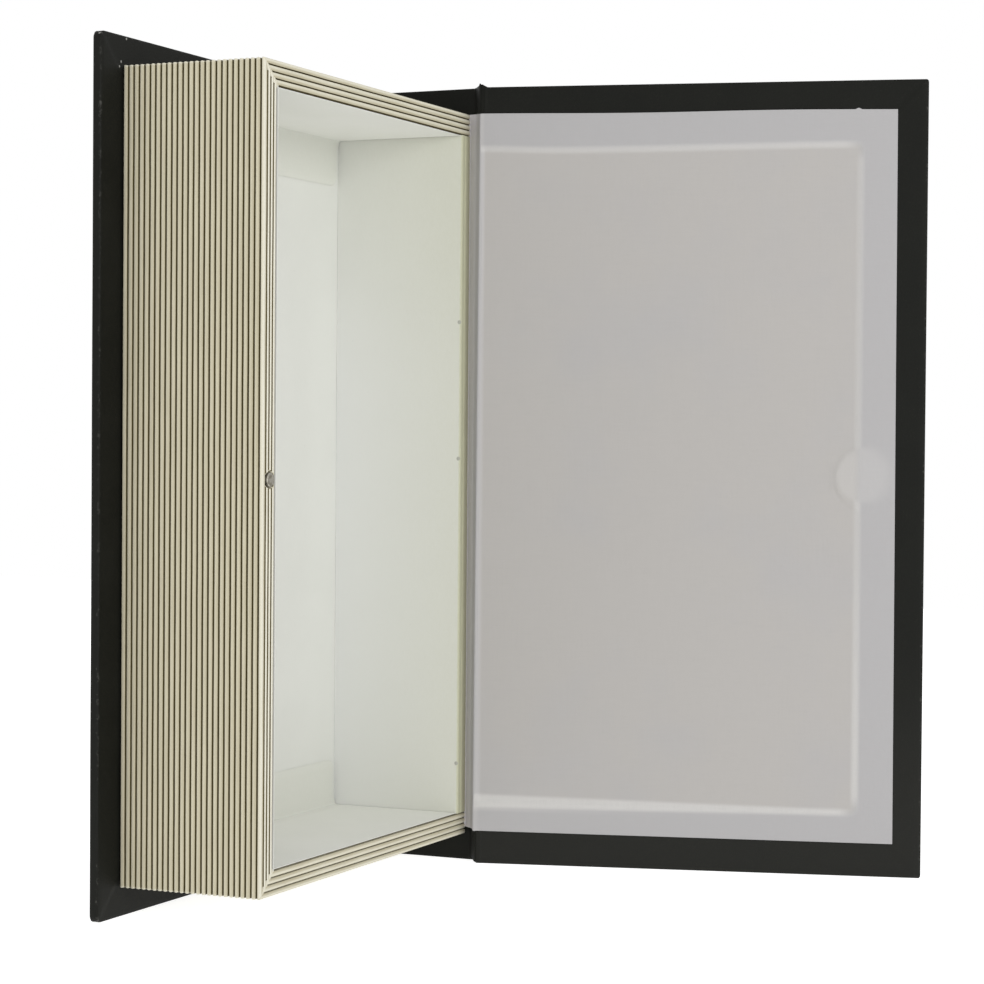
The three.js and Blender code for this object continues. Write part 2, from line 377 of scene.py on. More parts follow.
class Channel:
    """One output socket of a shader, with arithmetic that adds Math nodes."""

    def __init__(self, shader: "Shader", socket: bpy.types.NodeSocket) -> None:
        """Wrap a socket of the given shader."""
        self.shader = shader
        self.socket = socket

    def __add__(self, other: "Number") -> "Channel":
        """The sum."""
        return self.shader.sum_of("ADD", self, other)

    __radd__ = __add__

    def __sub__(self, other: "Number") -> "Channel":
        """The difference."""
        return self.shader.sum_of("SUBTRACT", self, other)

    def __rsub__(self, other: "Number") -> "Channel":
        """The difference, with the number first."""
        return self.shader.sum_of("SUBTRACT", other, self)

    def __mul__(self, other: "Number") -> "Channel":
        """The product."""
        return self.shader.sum_of("MULTIPLY", self, other)

    __rmul__ = __mul__


Number = Union[Channel, float]
Paint = Union[Channel, Colour]
Settings = dict[str, Any]
Sockets = dict[Union[str, int], Any]


class Shader:
    """A material or a world whose nodes are added one expression at a time."""

    def __init__(self, name: str, world: bool = False) -> None:
        """Start an empty material or world.

        Args:
            name: Its name.
            world: Whether it is a world.
        """
        self.owner = (bpy.data.worlds if world else bpy.data.materials).new(name)
        self.owner.use_nodes = True
        self.tree = self.owner.node_tree
        self.tree.nodes.clear()

    def node(
        self, kind: str, settings: Optional[Settings] = None, sockets: Optional[Sockets] = None
    ) -> bpy.types.Node:
        """Add a node, with its settings first and its sockets after them.

        Args:
            kind: The node's type, without the words that all types start with.
            settings: The node's own properties.
            sockets: A value or a Channel for each socket named or numbered.

        Returns:
            The new node.
        """
        made = self.tree.nodes.new("ShaderNode" + kind)
        for key, value in (settings or {}).items():
            setattr(made, key, value)
        for key, value in (sockets or {}).items():
            socket = made.inputs[key]
            if isinstance(value, Channel):
                self.tree.links.new(value.socket, socket)
            elif isinstance(value, tuple) and socket.type == "RGBA":
                socket.default_value = (*value, 1.0)
            else:
                socket.default_value = value
        return made

    def out(
        self,
        kind: str,
        settings: Optional[Settings] = None,
        sockets: Optional[Sockets] = None,
        output: Union[str, int] = 0,
    ) -> Channel:
        """Add a node and take the output of this name or number."""
        return Channel(self, self.node(kind, settings, sockets).outputs[output])

    def sum_of(self, operation: str, first: Number, second: Number = 0.0) -> Channel:
        """The result of one Math node."""
        return self.out("Math", {"operation": operation}, {0: first, 1: second})

    def place(self) -> Channel:
        """The place on the piece, in the piece's own axes."""
        return self.out("TexCoord", output="Object")

    def axis(self, vector: Channel, letter: str) -> Channel:
        """One coordinate of a vector."""
        return self.out("SeparateXYZ", None, {0: vector}, letter)

    def stretched(self, vector: Channel, scale: Scale) -> Channel:
        """A vector with each axis multiplied by a number of its own."""
        return self.out("VectorMath", {"operation": "MULTIPLY"}, {0: vector, 1: scale})

    def speckle(self, vector: Channel, grain: Noise) -> Channel:
        """Noise from 0 to 1.

        Args:
            vector: The coordinates to read it at.
            grain: Its humps to the metre, its finer layers and their strength.

        Returns:
            The noise.
        """
        scale, detail, rough = grain
        sockets = {"Vector": vector, "Scale": scale, "Detail": detail, "Roughness": rough}
        return self.out("TexNoise", None, sockets, "Fac")

    def pebbles(self, vector: Channel, scale: float) -> Channel:
        """The distance to the nearest of many scattered dots, for pebbled grain."""
        return self.out("TexVoronoi", None, {"Vector": vector, "Scale": scale}, "Distance")

    def painted(self, name: str) -> Channel:
        """A value that the mesh holds at its points."""
        return self.out("Attribute", {"attribute_name": name}, None, "Fac")

    def rise(self, value: Channel, span: Span) -> Channel:
        """0 below a span and 1 above it, with a smooth rise between."""
        sockets = {"Value": value, "From Min": span[0], "From Max": span[1]}
        return self.out("MapRange", {"interpolation_type": "SMOOTHSTEP"}, sockets)

    def mix(self, share: Number, first: Paint, second: Paint) -> Channel:
        """A colour between the first one, at a share of 0, and the second one, at 1."""
        return self.out("Mix", {"data_type": "RGBA"}, {0: share, 6: first, 7: second}, 2)

    def dabbed(
        self,
        base: Channel,
        place: Channel,
        ragged: Channel,
        spots: Sequence[Spot],
        size: float,
        paint: Colour,
    ) -> Channel:
        """Dab small ragged spots on a colour.

        Args:
            base: The colour below them.
            place: The place on the piece.
            ragged: Noise that frays the spots' edges.
            spots: The spots' middles.
            size: How far a spot reaches from its middle.
            paint: The spots' colour.

        Returns:
            The colour with its spots.
        """
        fray = (ragged - 0.5) * (0.5 * MM)
        for spot in spots:
            away = self.out("VectorMath", {"operation": "DISTANCE"}, {0: place, 1: spot}, "Value")
            base = self.mix(1.0 - self.rise(away + fray, (size * 0.52, size)), base, paint)
        return base

    def bump(self, height: Channel, distance: float, strength: float) -> Channel:
        """The surface direction that a relief of this height gives."""
        sockets = {"Height": height, "Distance": distance, "Strength": strength}
        return self.out("Bump", None, sockets)

    def finish(self, **sockets: Any) -> Material:
        """Close the material with one Principled shader.

        Args:
            **sockets: What its sockets get, with _ for a space in their names.

        Returns:
            The finished material.
        """
        named = {key.replace("_", " "): value for key, value in sockets.items()}
        self.node("OutputMaterial", None, {"Surface": self.out("BsdfPrincipled", None, named)})
        return self.owner


# Finishes


@dataclass(frozen=True)
class BookCloth:
    """Black coated cloth with a pebbled grain, rubbed at its edges, with a few specks of glue, and
    a painted reflection that lightens the front cover's inner face towards its tail.
    """

    name: str = "black_book_cloth"
    dark: Colour = (0.0041, 0.0045, 0.0031)
    light: Colour = (0.0069, 0.0073, 0.0055)
    # Painted reflection: the lighter colour of the front cover's inner face near its tail
    painted_reflection: Colour = (0.0140, 0.0142, 0.0120)
    rubbed: Colour = (0.072, 0.071, 0.064)
    glue: Colour = (0.300, 0.300, 0.280)
    specks: tuple[Spot, ...] = (
        (-65.1 * MM, -1.4 * MM, 261.9 * MM),
        (-66.1 * MM, -1.4 * MM, 260.3 * MM),
        (-76.0 * MM, -0.7 * MM, 269.1 * MM),
        (-62.2 * MM, -1.4 * MM, 269.2 * MM),
    )
    speck: float = 0.46 * MM
    grain: float = 2300.0
    cloud: Noise = (34.0, 4.0, 0.6)
    fibre: Noise = (5200.0, 2.0, 0.6)
    wear: Noise = (520.0, 5.0, 0.75)
    scuffed: Span = (0.79, 1.01)
    clouded: Span = (0.30, 0.75)
    relief: float = 0.06 * MM

    def material(self) -> Material:
        """Mix the cloth's material.

        Returns:
            The material.
        """
        s = Shader(self.name)
        place = s.place()
        cloud = s.speckle(place, self.cloud)
        pebble = s.pebbles(place, self.grain)
        fibre = s.speckle(place, self.fibre)
        edge = s.painted("edge")
        scuff = s.rise(s.speckle(place, self.wear) + edge * 0.36, self.scuffed) * edge
        base = s.mix(s.rise(cloud + (pebble - 0.4) * 0.25, self.clouded), self.dark, self.light)
        # Painted reflection, lighter towards the tail of the front cover's inner face
        reflected = s.mix(s.painted("floor_reflection") * (cloud * 0.6 + 0.7), base, self.painted_reflection)
        worn = s.mix(scuff, reflected, self.rubbed)
        height = pebble * 0.7 + fibre * 0.5 + cloud * 0.6
        return s.finish(
            Base_Color=s.dabbed(worn, place, fibre, self.specks, self.speck, self.glue),
            Roughness=0.52 + cloud * 0.14,
            Specular_IOR_Level=0.13,
            Normal=s.bump(height, self.relief, 0.8),
        )


@dataclass(frozen=True)
class PagePaint:
    """Cream paint on milled page bands, brown in the grooves between them, with painted light and
    shade across each band and rims painted lighter as painted light.
    """

    name: str = "painted_page_edge"
    # Painted light: the rims are painted lighter than the bands' faces
    rim: Colour = (0.655, 0.630, 0.512)
    # Painted light and shade: each band is painted from lit to shaded across its width
    lit: Colour = (0.630, 0.588, 0.438)
    shaded: Colour = (0.474, 0.432, 0.305)
    groove: Colour = (0.088, 0.069, 0.022)
    dirt: Colour = (0.400, 0.350, 0.228)
    # The paler colour near the wall's outer corner and its mitred ends
    chipped: Colour = (0.700, 0.670, 0.550)
    run: Scale = (40.0, 3.1, 1.3)
    streak: Noise = (1.0, 3.0, 0.6)
    fine: Noise = (1900.0, 3.0, 0.6)
    turning: Span = (0.28, 0.95)
    soiled: Span = (0.86, 1.15)
    sunk: Span = (0.26, 0.66)
    relief: float = 0.05 * MM

    def material(self) -> Material:
        """Mix the page edges' material.

        Returns:
            The material.
        """
        s = Shader(self.name)
        across = s.painted("across")
        along, row, face = self.run
        run = {0: s.painted("along") * along, 1: s.painted("row") * row, 2: across * face}
        streak = s.speckle(s.out("CombineXYZ", None, run), self.streak)
        fine = s.speckle(s.place(), self.fine)
        # Painted light on the rims
        top = s.mix(s.painted("rim"), self.lit, self.rim)
        # Painted shade across each band, lit on one side and shaded on the other
        band = s.mix(s.rise(across + (streak - 0.5) * 0.7, self.turning), top, self.shaded)
        soiled = s.mix(s.rise(fine + streak * 0.5, self.soiled) * 0.5, band, self.dirt)
        # Paler near the wall's outer corner and its mitred ends
        worn = s.mix(s.painted("corner") * (fine * 0.4 + 0.6), soiled, self.chipped)
        sunk = s.rise(s.painted("groove") + (fine - 0.5) * 0.35, self.sunk)
        return s.finish(
            Base_Color=s.mix(sunk, worn, self.groove),
            Roughness=0.62 + fine * 0.16,
            Specular_IOR_Level=0.35,
            Normal=s.bump(fine + streak * 0.8, self.relief, 0.7),
        )


@dataclass(frozen=True)
class Paper:
    """Plain matt paper with a faint fibre, rubbed at its folds, nicked where it has nicks and
    painted lighter, as painted light, where its points ask for it.
    """

    name: str
    base: Colour
    cloud: Colour
    worn: Colour
    nicks: tuple[Spot, ...] = ()
    # Painted light: the colour that a lining is lightened towards
    pale: Colour = (0.750, 0.757, 0.735)
    nick: Colour = (0.380, 0.380, 0.330)
    nick_size: float = 0.85 * MM
    grain: Scale = (1.0, 1.0, 0.45)
    fibre: Noise = (1500.0, 4.0, 0.65)
    patch: Noise = (26.0, 3.0, 0.55)
    fleck: Noise = (700.0, 2.0, 0.5)
    clouded: Span = (0.45, 0.90)
    flecked: Span = (0.72, 0.80)
    relief: float = 0.035 * MM

    def material(self) -> Material:
        """Mix the paper's material.

        Returns:
            The material.
        """
        s = Shader(self.name)
        place = s.place()
        patch = s.speckle(place, self.patch)
        fibre = s.speckle(s.stretched(place, self.grain), self.fibre)
        clean = s.mix(s.rise(patch + fibre * 0.3, self.clouded), self.base, self.cloud)
        # Painted light, where the points' pale value is set
        light = s.mix(s.painted("pale"), clean, self.pale)
        tone = s.mix(s.painted("worn") * (fibre * 0.4 + 0.8), light, self.worn)
        dull = tuple(channel * 0.82 for channel in self.cloud)
        flecked = s.mix(s.rise(s.speckle(place, self.fleck), self.flecked) * 0.22, tone, dull)
        return s.finish(
            Base_Color=s.dabbed(flecked, place, fibre, self.nicks, self.nick_size, self.nick),
            Roughness=0.78 + fibre * 0.12,
            Specular_IOR_Level=0.22,
            Normal=s.bump(fibre + patch * 2.0, self.relief, 0.6),
        )


@dataclass(frozen=True)
class LinenPaper:
    """Grey endpaper with a linen grain, with a painted highlight where it bridges the edge of the
    cloth below, and painted light on the strip across the joint.
    """

    name: str = "linen_endpaper"
    field: Colour = (0.446, 0.429, 0.413)
    border: Colour = (0.422, 0.414, 0.418)
    # Painted highlight on the bridged edge and at the fold by the cover's end; the paler patch
    # over the disc takes this colour too
    bridge: Colour = (0.585, 0.573, 0.559)
    # Painted light: the strip across the joint is painted much lighter near the tray, where it
    # lies in shade, and plain by the cover
    lit_near_tray: Colour = (0.700, 0.680, 0.720)
    near_cover: Colour = (0.415, 0.403, 0.415)
    thread: float = 0.42 * MM
    drift: Noise = (260.0, 3.0, 0.6)
    slub: Noise = (1500.0, 3.0, 0.6)
    patch: Noise = (18.0, 3.0, 0.6)
    thinned: float = 0.10
    cooled: Span = (0.45, 0.70)
    caught: Span = (0.60, 1.25)
    across: Span = (0.10, 0.80)
    woven: Span = (1.05, 1.75)
    relief: float = 0.04 * MM

    def material(self) -> Material:
        """Mix the endpaper's material.

        Returns:
            The material.
        """
        s = Shader(self.name)
        place = s.place()
        turn = 2 * math.pi / self.thread
        drift = s.speckle(place, self.drift) * 6.0
        weft = s.sum_of("SINE", s.axis(place, "Z") * turn + drift)
        warp = s.sum_of("SINE", s.axis(place, "X") * turn + drift * 1.3)
        slub = s.speckle(s.stretched(place, (self.thinned, 1.0, 1.0)), self.slub)
        slat = s.speckle(s.stretched(place, (1.0, 1.0, self.thinned)), self.slub)
        linen = weft * 0.20 + warp * 0.20 + slub + slat
        cool = s.rise(s.speckle(place, self.patch), self.cooled) * 0.5
        ground = s.mix(cool, s.mix(s.painted("inside"), self.border, self.field), self.border)
        # Painted highlight on the bridged edge and the fold, and the paler patch over the disc
        ridge = s.painted("ridge") * (0.75 + s.rise(slub + slat, self.caught) * 0.25)
        sheet = s.mix(ridge, ground, self.bridge)
        # Painted light on the joint strip, lighter near the tray
        joint_strip_painted_light = s.mix(s.rise(s.painted("span"), self.across), self.lit_near_tray, self.near_cover)
        paper = s.mix(s.painted("strip"), sheet, joint_strip_painted_light)
        darker = tuple(channel * 0.86 for channel in self.field)
        return s.finish(
            Base_Color=s.mix(s.rise(linen, self.woven) * 0.30, paper, darker),
            Roughness=0.80 + slub * 0.1,
            Specular_IOR_Level=0.20,
            Normal=s.bump(linen, self.relief, 0.7),
        )


@dataclass(frozen=True)
class BareWall:
    """The dull olive edge of the plain wall at the spine, paler towards the tray's inside and
    darker towards the joint as painted shade.
    """

    edge: float
    name: str = "bare_fibre_wall"
    # Painted shade: the darker colour towards the joint
    base: Colour = (0.500, 0.489, 0.352)
    pale: Colour = (0.630, 0.630, 0.450)
    grain: Scale = (1.0, 1.0, 0.2)
    fibre: Noise = (1400.0, 4.0, 0.7)
    patch: Noise = (70.0, 3.0, 0.6)
    joint_shade_span: Span = (-4.6 * MM, -1.2 * MM)
    ragged: float = 2.0 * MM
    relief: float = 0.06 * MM

    def material(self) -> Material:
        """Mix the bare wall's material.

        Returns:
            The material.
        """
        s = Shader(self.name)
        place = s.place()
        fibre = s.speckle(s.stretched(place, self.grain), self.fibre)
        patch = s.speckle(place, self.patch)
        across = s.axis(place, "X") + (fibre + patch - 1.0) * self.ragged
        low, high = self.joint_shade_span
        # Painted shade, darker from near the edge towards the joint
        outwards = s.rise(across, (self.edge + low, self.edge + high))
        return s.finish(
            Base_Color=s.mix(outwards, self.pale, self.base),
            Roughness=0.82 + fibre * 0.1,
            Specular_IOR_Level=0.2,
            Normal=s.bump(fibre, self.relief, 0.8),
        )


@dataclass(frozen=True)
class GreyBoard:
    """Bare grey board, with the flecks of pulped paper."""

    name: str = "grey_board"
    base: Colour = (0.270, 0.252, 0.215)
    fleck: Colour = (0.150, 0.140, 0.120)
    pulp: Noise = (900.0, 5.0, 0.7)
    flecked: Span = (0.52, 0.70)
    relief: float = 0.08 * MM

    def material(self) -> Material:
        """Mix the board's material.

        Returns:
            The material.
        """
        s = Shader(self.name)
        pulp = s.speckle(s.place(), self.pulp)
        return s.finish(
            Base_Color=s.mix(s.rise(pulp, self.flecked), self.base, self.fleck),
            Roughness=0.88 + pulp * 0.08,
            Specular_IOR_Level=0.2,
            Normal=s.bump(pulp, self.relief, 0.8),
        )


@dataclass(frozen=True)
class DullMetal:
    """Plated metal that has lost its shine."""

    name: str
    base: Colour
    stain: Colour
    rough: float
    brushed: Scale = (1.0, 1.0, 0.06)
    tarnish: Noise = (900.0, 4.0, 0.65)
    scratch: Noise = (5200.0, 3.0, 0.7)
    stained: Span = (0.42, 0.66)
    dulled: Span = (0.55, 0.80)
    relief: float = 0.02 * MM

    def material(self) -> Material:
        """Mix the metal's material.

        Returns:
            The material.
        """
        s = Shader(self.name)
        place = s.place()
        tarnish = s.speckle(place, self.tarnish)
        scratch = s.speckle(s.stretched(place, self.brushed), self.scratch)
        return s.finish(
            Base_Color=s.mix(s.rise(tarnish, self.stained), self.base, self.stain),
            Roughness=self.rough + tarnish * 0.25,
            Metallic=1.0 - s.rise(tarnish, self.dulled) * 0.5,
            Normal=s.bump(scratch + tarnish, self.relief, 0.6),
        )


@dataclass(frozen=True)
class StudioFloor:
    """A plain pale floor that the camera sees as white, apart from soft shadows."""

    name: str = "studio_floor"
    base: Colour = (0.56, 0.56, 0.56)
    seen: float = 0.88
    mirrored: float = 1.20
    bounced: float = 0.65

    def material(self) -> Material:
        """Mix the floor's material.

        Returns:
            The material.
        """
        s = Shader(self.name)
        lit = s.out("BsdfDiffuse", None, {"Color": self.base})
        camera, glossy, through = (s.out("LightPath", output=ray) for ray in SEEN_RAYS)
        mirror = (glossy + through) * (self.mirrored - self.bounced)
        strength = camera * (self.seen - self.bounced) + mirror + self.bounced
        glow = s.out("Emission", None, {"Color": WHITE, "Strength": strength})
        s.node("OutputMaterial", None, {"Surface": s.out("AddShader", None, {0: lit, 1: glow})})
        return s.owner


# The frame's sizes


@dataclass(frozen=True)
class Hinge:
    """The line that the front cover swings about, and how far it stands open."""

    foot: Vector
    opening: float

    @classmethod
    def read(cls) -> "Hinge":
        """Read the hinge from the frame's joint, whose lower limit is the shut cover."""
        joint = frame["joints"][0]
        return cls(Vector(joint["pos_m"]), -math.radians(joint["range_deg"][0]))

    def swing(self) -> Matrix:
        """The move that opens the shut cover as far as it stands."""
        there = Matrix.Translation(self.foot)
        return there @ Matrix.Rotation(self.opening, 4, "Z") @ there.inverted()

    def shut_box(self, node: str) -> tuple[Vector, Vector]:
        """The lowest and highest corners that a node of the cover has when shut.

        Args:
            node: The name of a node of the front cover.

        Returns:
            The two corners.
        """
        back = self.swing().inverted()
        places = np.array([back @ v.co for v in frame["nodes"][node].data.vertices])
        return Vector(places.min(0)), Vector(places.max(0))


@dataclass(frozen=True)
class Book:
    """The box's main planes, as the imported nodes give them."""

    height: float
    fore: float
    back_in: float
    back_out: float
    back_end: float
    spine_in: float
    spine_out: float
    spine_front: float
    tray_fore: float
    tray_spine: float
    tray_tail: float
    tray_head: float
    rim: float
    wall_back: float
    wall: float
    cover_in: float
    cover_out: float
    cover_end: float
    fold_out: float = 0.17 * MM
    fold_askew: float = 0.42 * MM
    head_droop: float = 0.58 * MM
    droop_reach: float = 140 * MM

    @classmethod
    def read(cls, hinge: Hinge) -> "Book":
        """Read the planes from the nodes.

        Args:
            hinge: The cover's hinge.

        Returns:
            The planes.
        """
        case_low, case_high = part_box("case_cloth")
        board_low, board_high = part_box("back_board")
        spine_low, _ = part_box("spine_board")
        fore_low, fore_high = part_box("fore_edge_wall")
        tail_low, tail_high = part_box("tail_wall")
        _, head_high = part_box("head_wall")
        cover_low, cover_high = hinge.shut_box("front_cover_cloth")
        layer = board_low.x - case_low.x
        return cls(
            height=case_high.z,
            fore=case_low.x,
            back_in=board_low.y - layer,
            back_out=case_high.y,
            back_end=board_high.x + layer,
            spine_in=spine_low.x - layer,
            spine_out=case_high.x,
            spine_front=case_low.y,
            tray_fore=fore_low.x,
            tray_spine=tail_high.x,
            tray_tail=tail_low.z,
            tray_head=head_high.z,
            rim=fore_low.y,
            wall_back=fore_high.y,
            wall=tail_high.z - tail_low.z,
            cover_in=cover_high.y,
            cover_out=cover_low.y,
            cover_end=cover_high.x,
        )

    def lean(self, z: float) -> float:
        """How far the endpaper's fold lies past the cover's end, as it was pasted askew."""
        return self.fold_out + self.fold_askew * (1 - 2 * z / self.height)

    def droop(self, x: float) -> float:
        """How much lower the front cover's head edge is than at its free end."""
        return self.head_droop * max(0.0, 1 - (self.cover_end - x) / self.droop_reach)


def hang(
    piece: Piece,
    body: Body,
    finish: Material,
    nodes: Sequence[str],
    matrix: Optional[Matrix] = None,
) -> None:
    """Dress a piece, put it in its place and let it ride on its body.

    Args:
        piece: A new piece.
        body: What it moves with.
        finish: Its material.
        nodes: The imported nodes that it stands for.
        matrix: Its place, for a piece that is drawn with the cover shut.
    """
    piece.data.materials.clear()
    piece.data.materials.append(finish)
    if matrix is not None:
        piece.matrix_world = matrix
    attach(piece, body.value)
    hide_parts(*nodes)
    log.info("%s: %d faces", piece.name, len(piece.data.polygons))


# The cloth case


@dataclass
class ClothSkin:
    """A sheet of cloth wrapped round boards: a rounded prism, open where the boards show."""

    height: float
    fore: float
    looks: float
    corner: float
    ear: Optional[Vector] = None
    board: Optional[float] = None
    droop: Curve = lambda x: 0.0
    droop_depths: Span = (12 * MM, 2 * MM)
    edge: float = 0.40 * MM
    thickness: float = 0.30 * MM
    fore_turn_in: float = 21.0 * MM
    end_turn_in: float = 20.1 * MM
    seam: float = 0.16 * MM
    lap: Span = (-0.5 * MM, 0.5 * MM)
    lap_start: Span = (0.0, 2 * MM)
    wave: float = 0.10 * MM
    wave_length: float = 55 * MM
    ear_height: float = 1.3 * MM
    ear_reach: float = 2.6 * MM
    ear_depth: float = 5 * MM
    board_ridge: float = 0.14 * MM
    ridge_width: float = 0.4 * MM
    edge_wear: float = 0.75
    corner_wear: float = 0.5
    end_worn: Span = (0.1 * MM, 1.5 * MM)
    side_worn: Span = (0.4 * MM, 1.8 * MM)
    mitre_worn: Span = (0.3 * MM, 1.6 * MM)
    mitre_reach: Span = (3 * MM, 6 * MM)
    # Heights over which the front cover's painted reflection fades out, from the tail up
    painted_reflection: Span = (15 * MM, 95 * MM)
    fine_step: float = 0.8 * MM
    face_step: float = 3.0 * MM
    high_step: float = 4.0 * MM
    ridge_step: float = 0.3 * MM
    ridge_reach: float = 2 * MM
    arc_steps: int = 5

    def levels(self) -> list[tuple[float, float]]:
        """The heights of the skin's rings.

        Returns:
            The heights, each with how far the ring's outline is drawn in there.
        """
        low = [(z, inset) for inset, z in reversed(quarter(self.edge, self.arc_steps)[1:])]
        high = [(self.height - z, inset) for z, inset in reversed(low)]
        turn, tall = self.end_turn_in, self.height
        marks = (self.edge, turn, tall - turn, tall - self.edge)
        body = chain(marks, (self.fine_step, self.high_step, self.fine_step))
        return low + [(z, 0.0) for z in body] + high

    def worked(self, x: float, y: float, z: float, inner: bool) -> Vector:
        """A point moved by the folds, the soft corners and the cloth's slight waves.

        Args:
            x: Its place across the cover.
            y: Its place through the cover.
            z: Its height.
            inner: Whether it lies on the cover's inner face.

        Returns:
            Where it ends up.
        """
        across = x - self.fore
        end = min(z, self.height - z)
        if across < self.corner and end < self.corner:
            away = Vector((self.corner - across, self.corner - end))
            away *= max(away.x, away.y) / away.length
            across = self.corner - away.x
            lifted = self.corner - away.y
            z = lifted if z < self.height / 2 else self.height - lifted
            x = self.fore + across
        y += self.wave * ripple(x, z, self.wave_length, 3.0)
        if inner:
            lap = smooth(end - across, *self.lap) * smooth(across, *self.lap_start)
            y += self.looks * self.seam * lap
        if inner and self.board is not None:
            ridge = math.exp(-(((x - self.board) / self.ridge_width) ** 2))
            y += self.looks * self.board_ridge * ridge
        start, full = (self.height - depth for depth in self.droop_depths)
        lowered = self.droop(x) * smooth(z, start, full)
        if self.ear is not None:
            near = max(0.0, 1 - (Vector((x, y)) - self.ear).length / self.ear_reach)
            z += self.ear_height * near * smooth(z, self.height - self.ear_depth, self.height)
        return Vector((x, y, z - lowered))

    def rubbed(self, x: float, y: float, z: float, sharp: Sequence[Vector]) -> float:
        """How rubbed the cloth is at a point.

        Args:
            x: The point's place across the cover.
            y: Its place through the cover.
            z: Its height.
            sharp: The outline's outer corners.

        Returns:
            The wear, from 0 to 1.
        """
        up = min(z, self.height - z)
        end = 1 - smooth(up, *self.end_worn)
        near = min((Vector((x, y)) - corner).length for corner in sharp)
        side = 1 - smooth(near, *self.side_worn)
        mitre = 0.0
        if self.ear is not None:
            across = x - self.fore
            mitre = 1 - smooth(abs(up - across), *self.mitre_worn)
            mitre *= 1 - smooth(across, *self.mitre_reach)
        return min(1.0, self.edge_wear * max(end, side, mitre) + self.corner_wear * end * side)

    def step_at(self, here: Vector) -> float:
        """The step wanted between the section's points.

        Args:
            here: A point of the section.

        Returns:
            The step near it.
        """
        if self.board is not None and here.x > self.board - self.ridge_reach:
            return self.ridge_step
        return self.fine_step if here.x - self.fore < self.fore_turn_in else self.face_step

    def between_ends(self, z: float) -> bool:
        """Whether a height lies between the turned-in ends."""
        return self.end_turn_in < z < self.height - self.end_turn_in

    def build(
        self,
        name: str,
        corners: Sequence[Corner],
        sharp: Sequence[int],
        inner: Callable[[float, float], bool],
        bare: Callable[[Vector], bool],
    ) -> Piece:
        """Build the skin.

        Args:
            name: The new object's name.
            corners: The section's corners, anticlockwise, each with its radius.
            sharp: Which corners wear.
            inner: Whether a point of the section lies on the inner face.
            bare: Whether a face is left open, by its middle.

        Returns:
            The new object.
        """
        outline = spaced(fillet(corners), self.step_at)
        away = normals_of(outline)
        worn = [Vector(corners[index][:2]) for index in sharp]
        surface = Surface(name)
        rings = []
        for z, inset in self.levels():
            ring = []
            for here, out in zip(outline, away):
                x, y = here - out * inset
                inside = inner(here.x, here.y)
                values = {"edge": self.rubbed(x, y, z, worn)}
                # Painted reflection on the front cover's inner face, lighter towards its tail
                if inside and self.ear is not None:
                    values["floor_reflection"] = 1 - smooth(z, *self.painted_reflection)
                ring.append(surface.point(self.worked(x, y, z, inside), **values))
            rings.append(ring)
        surface.tube(rings)
        made = surface.make()
        shape = bmesh.new()
        shape.from_mesh(made.data)
        opened = [face for face in shape.faces if bare(face.calc_center_median())]
        bmesh.ops.delete(shape, geom=opened, context="FACES")
        shape.to_mesh(made.data)
        shape.free()
        thicken(made, self.thickness)
        shade(made)
        return made


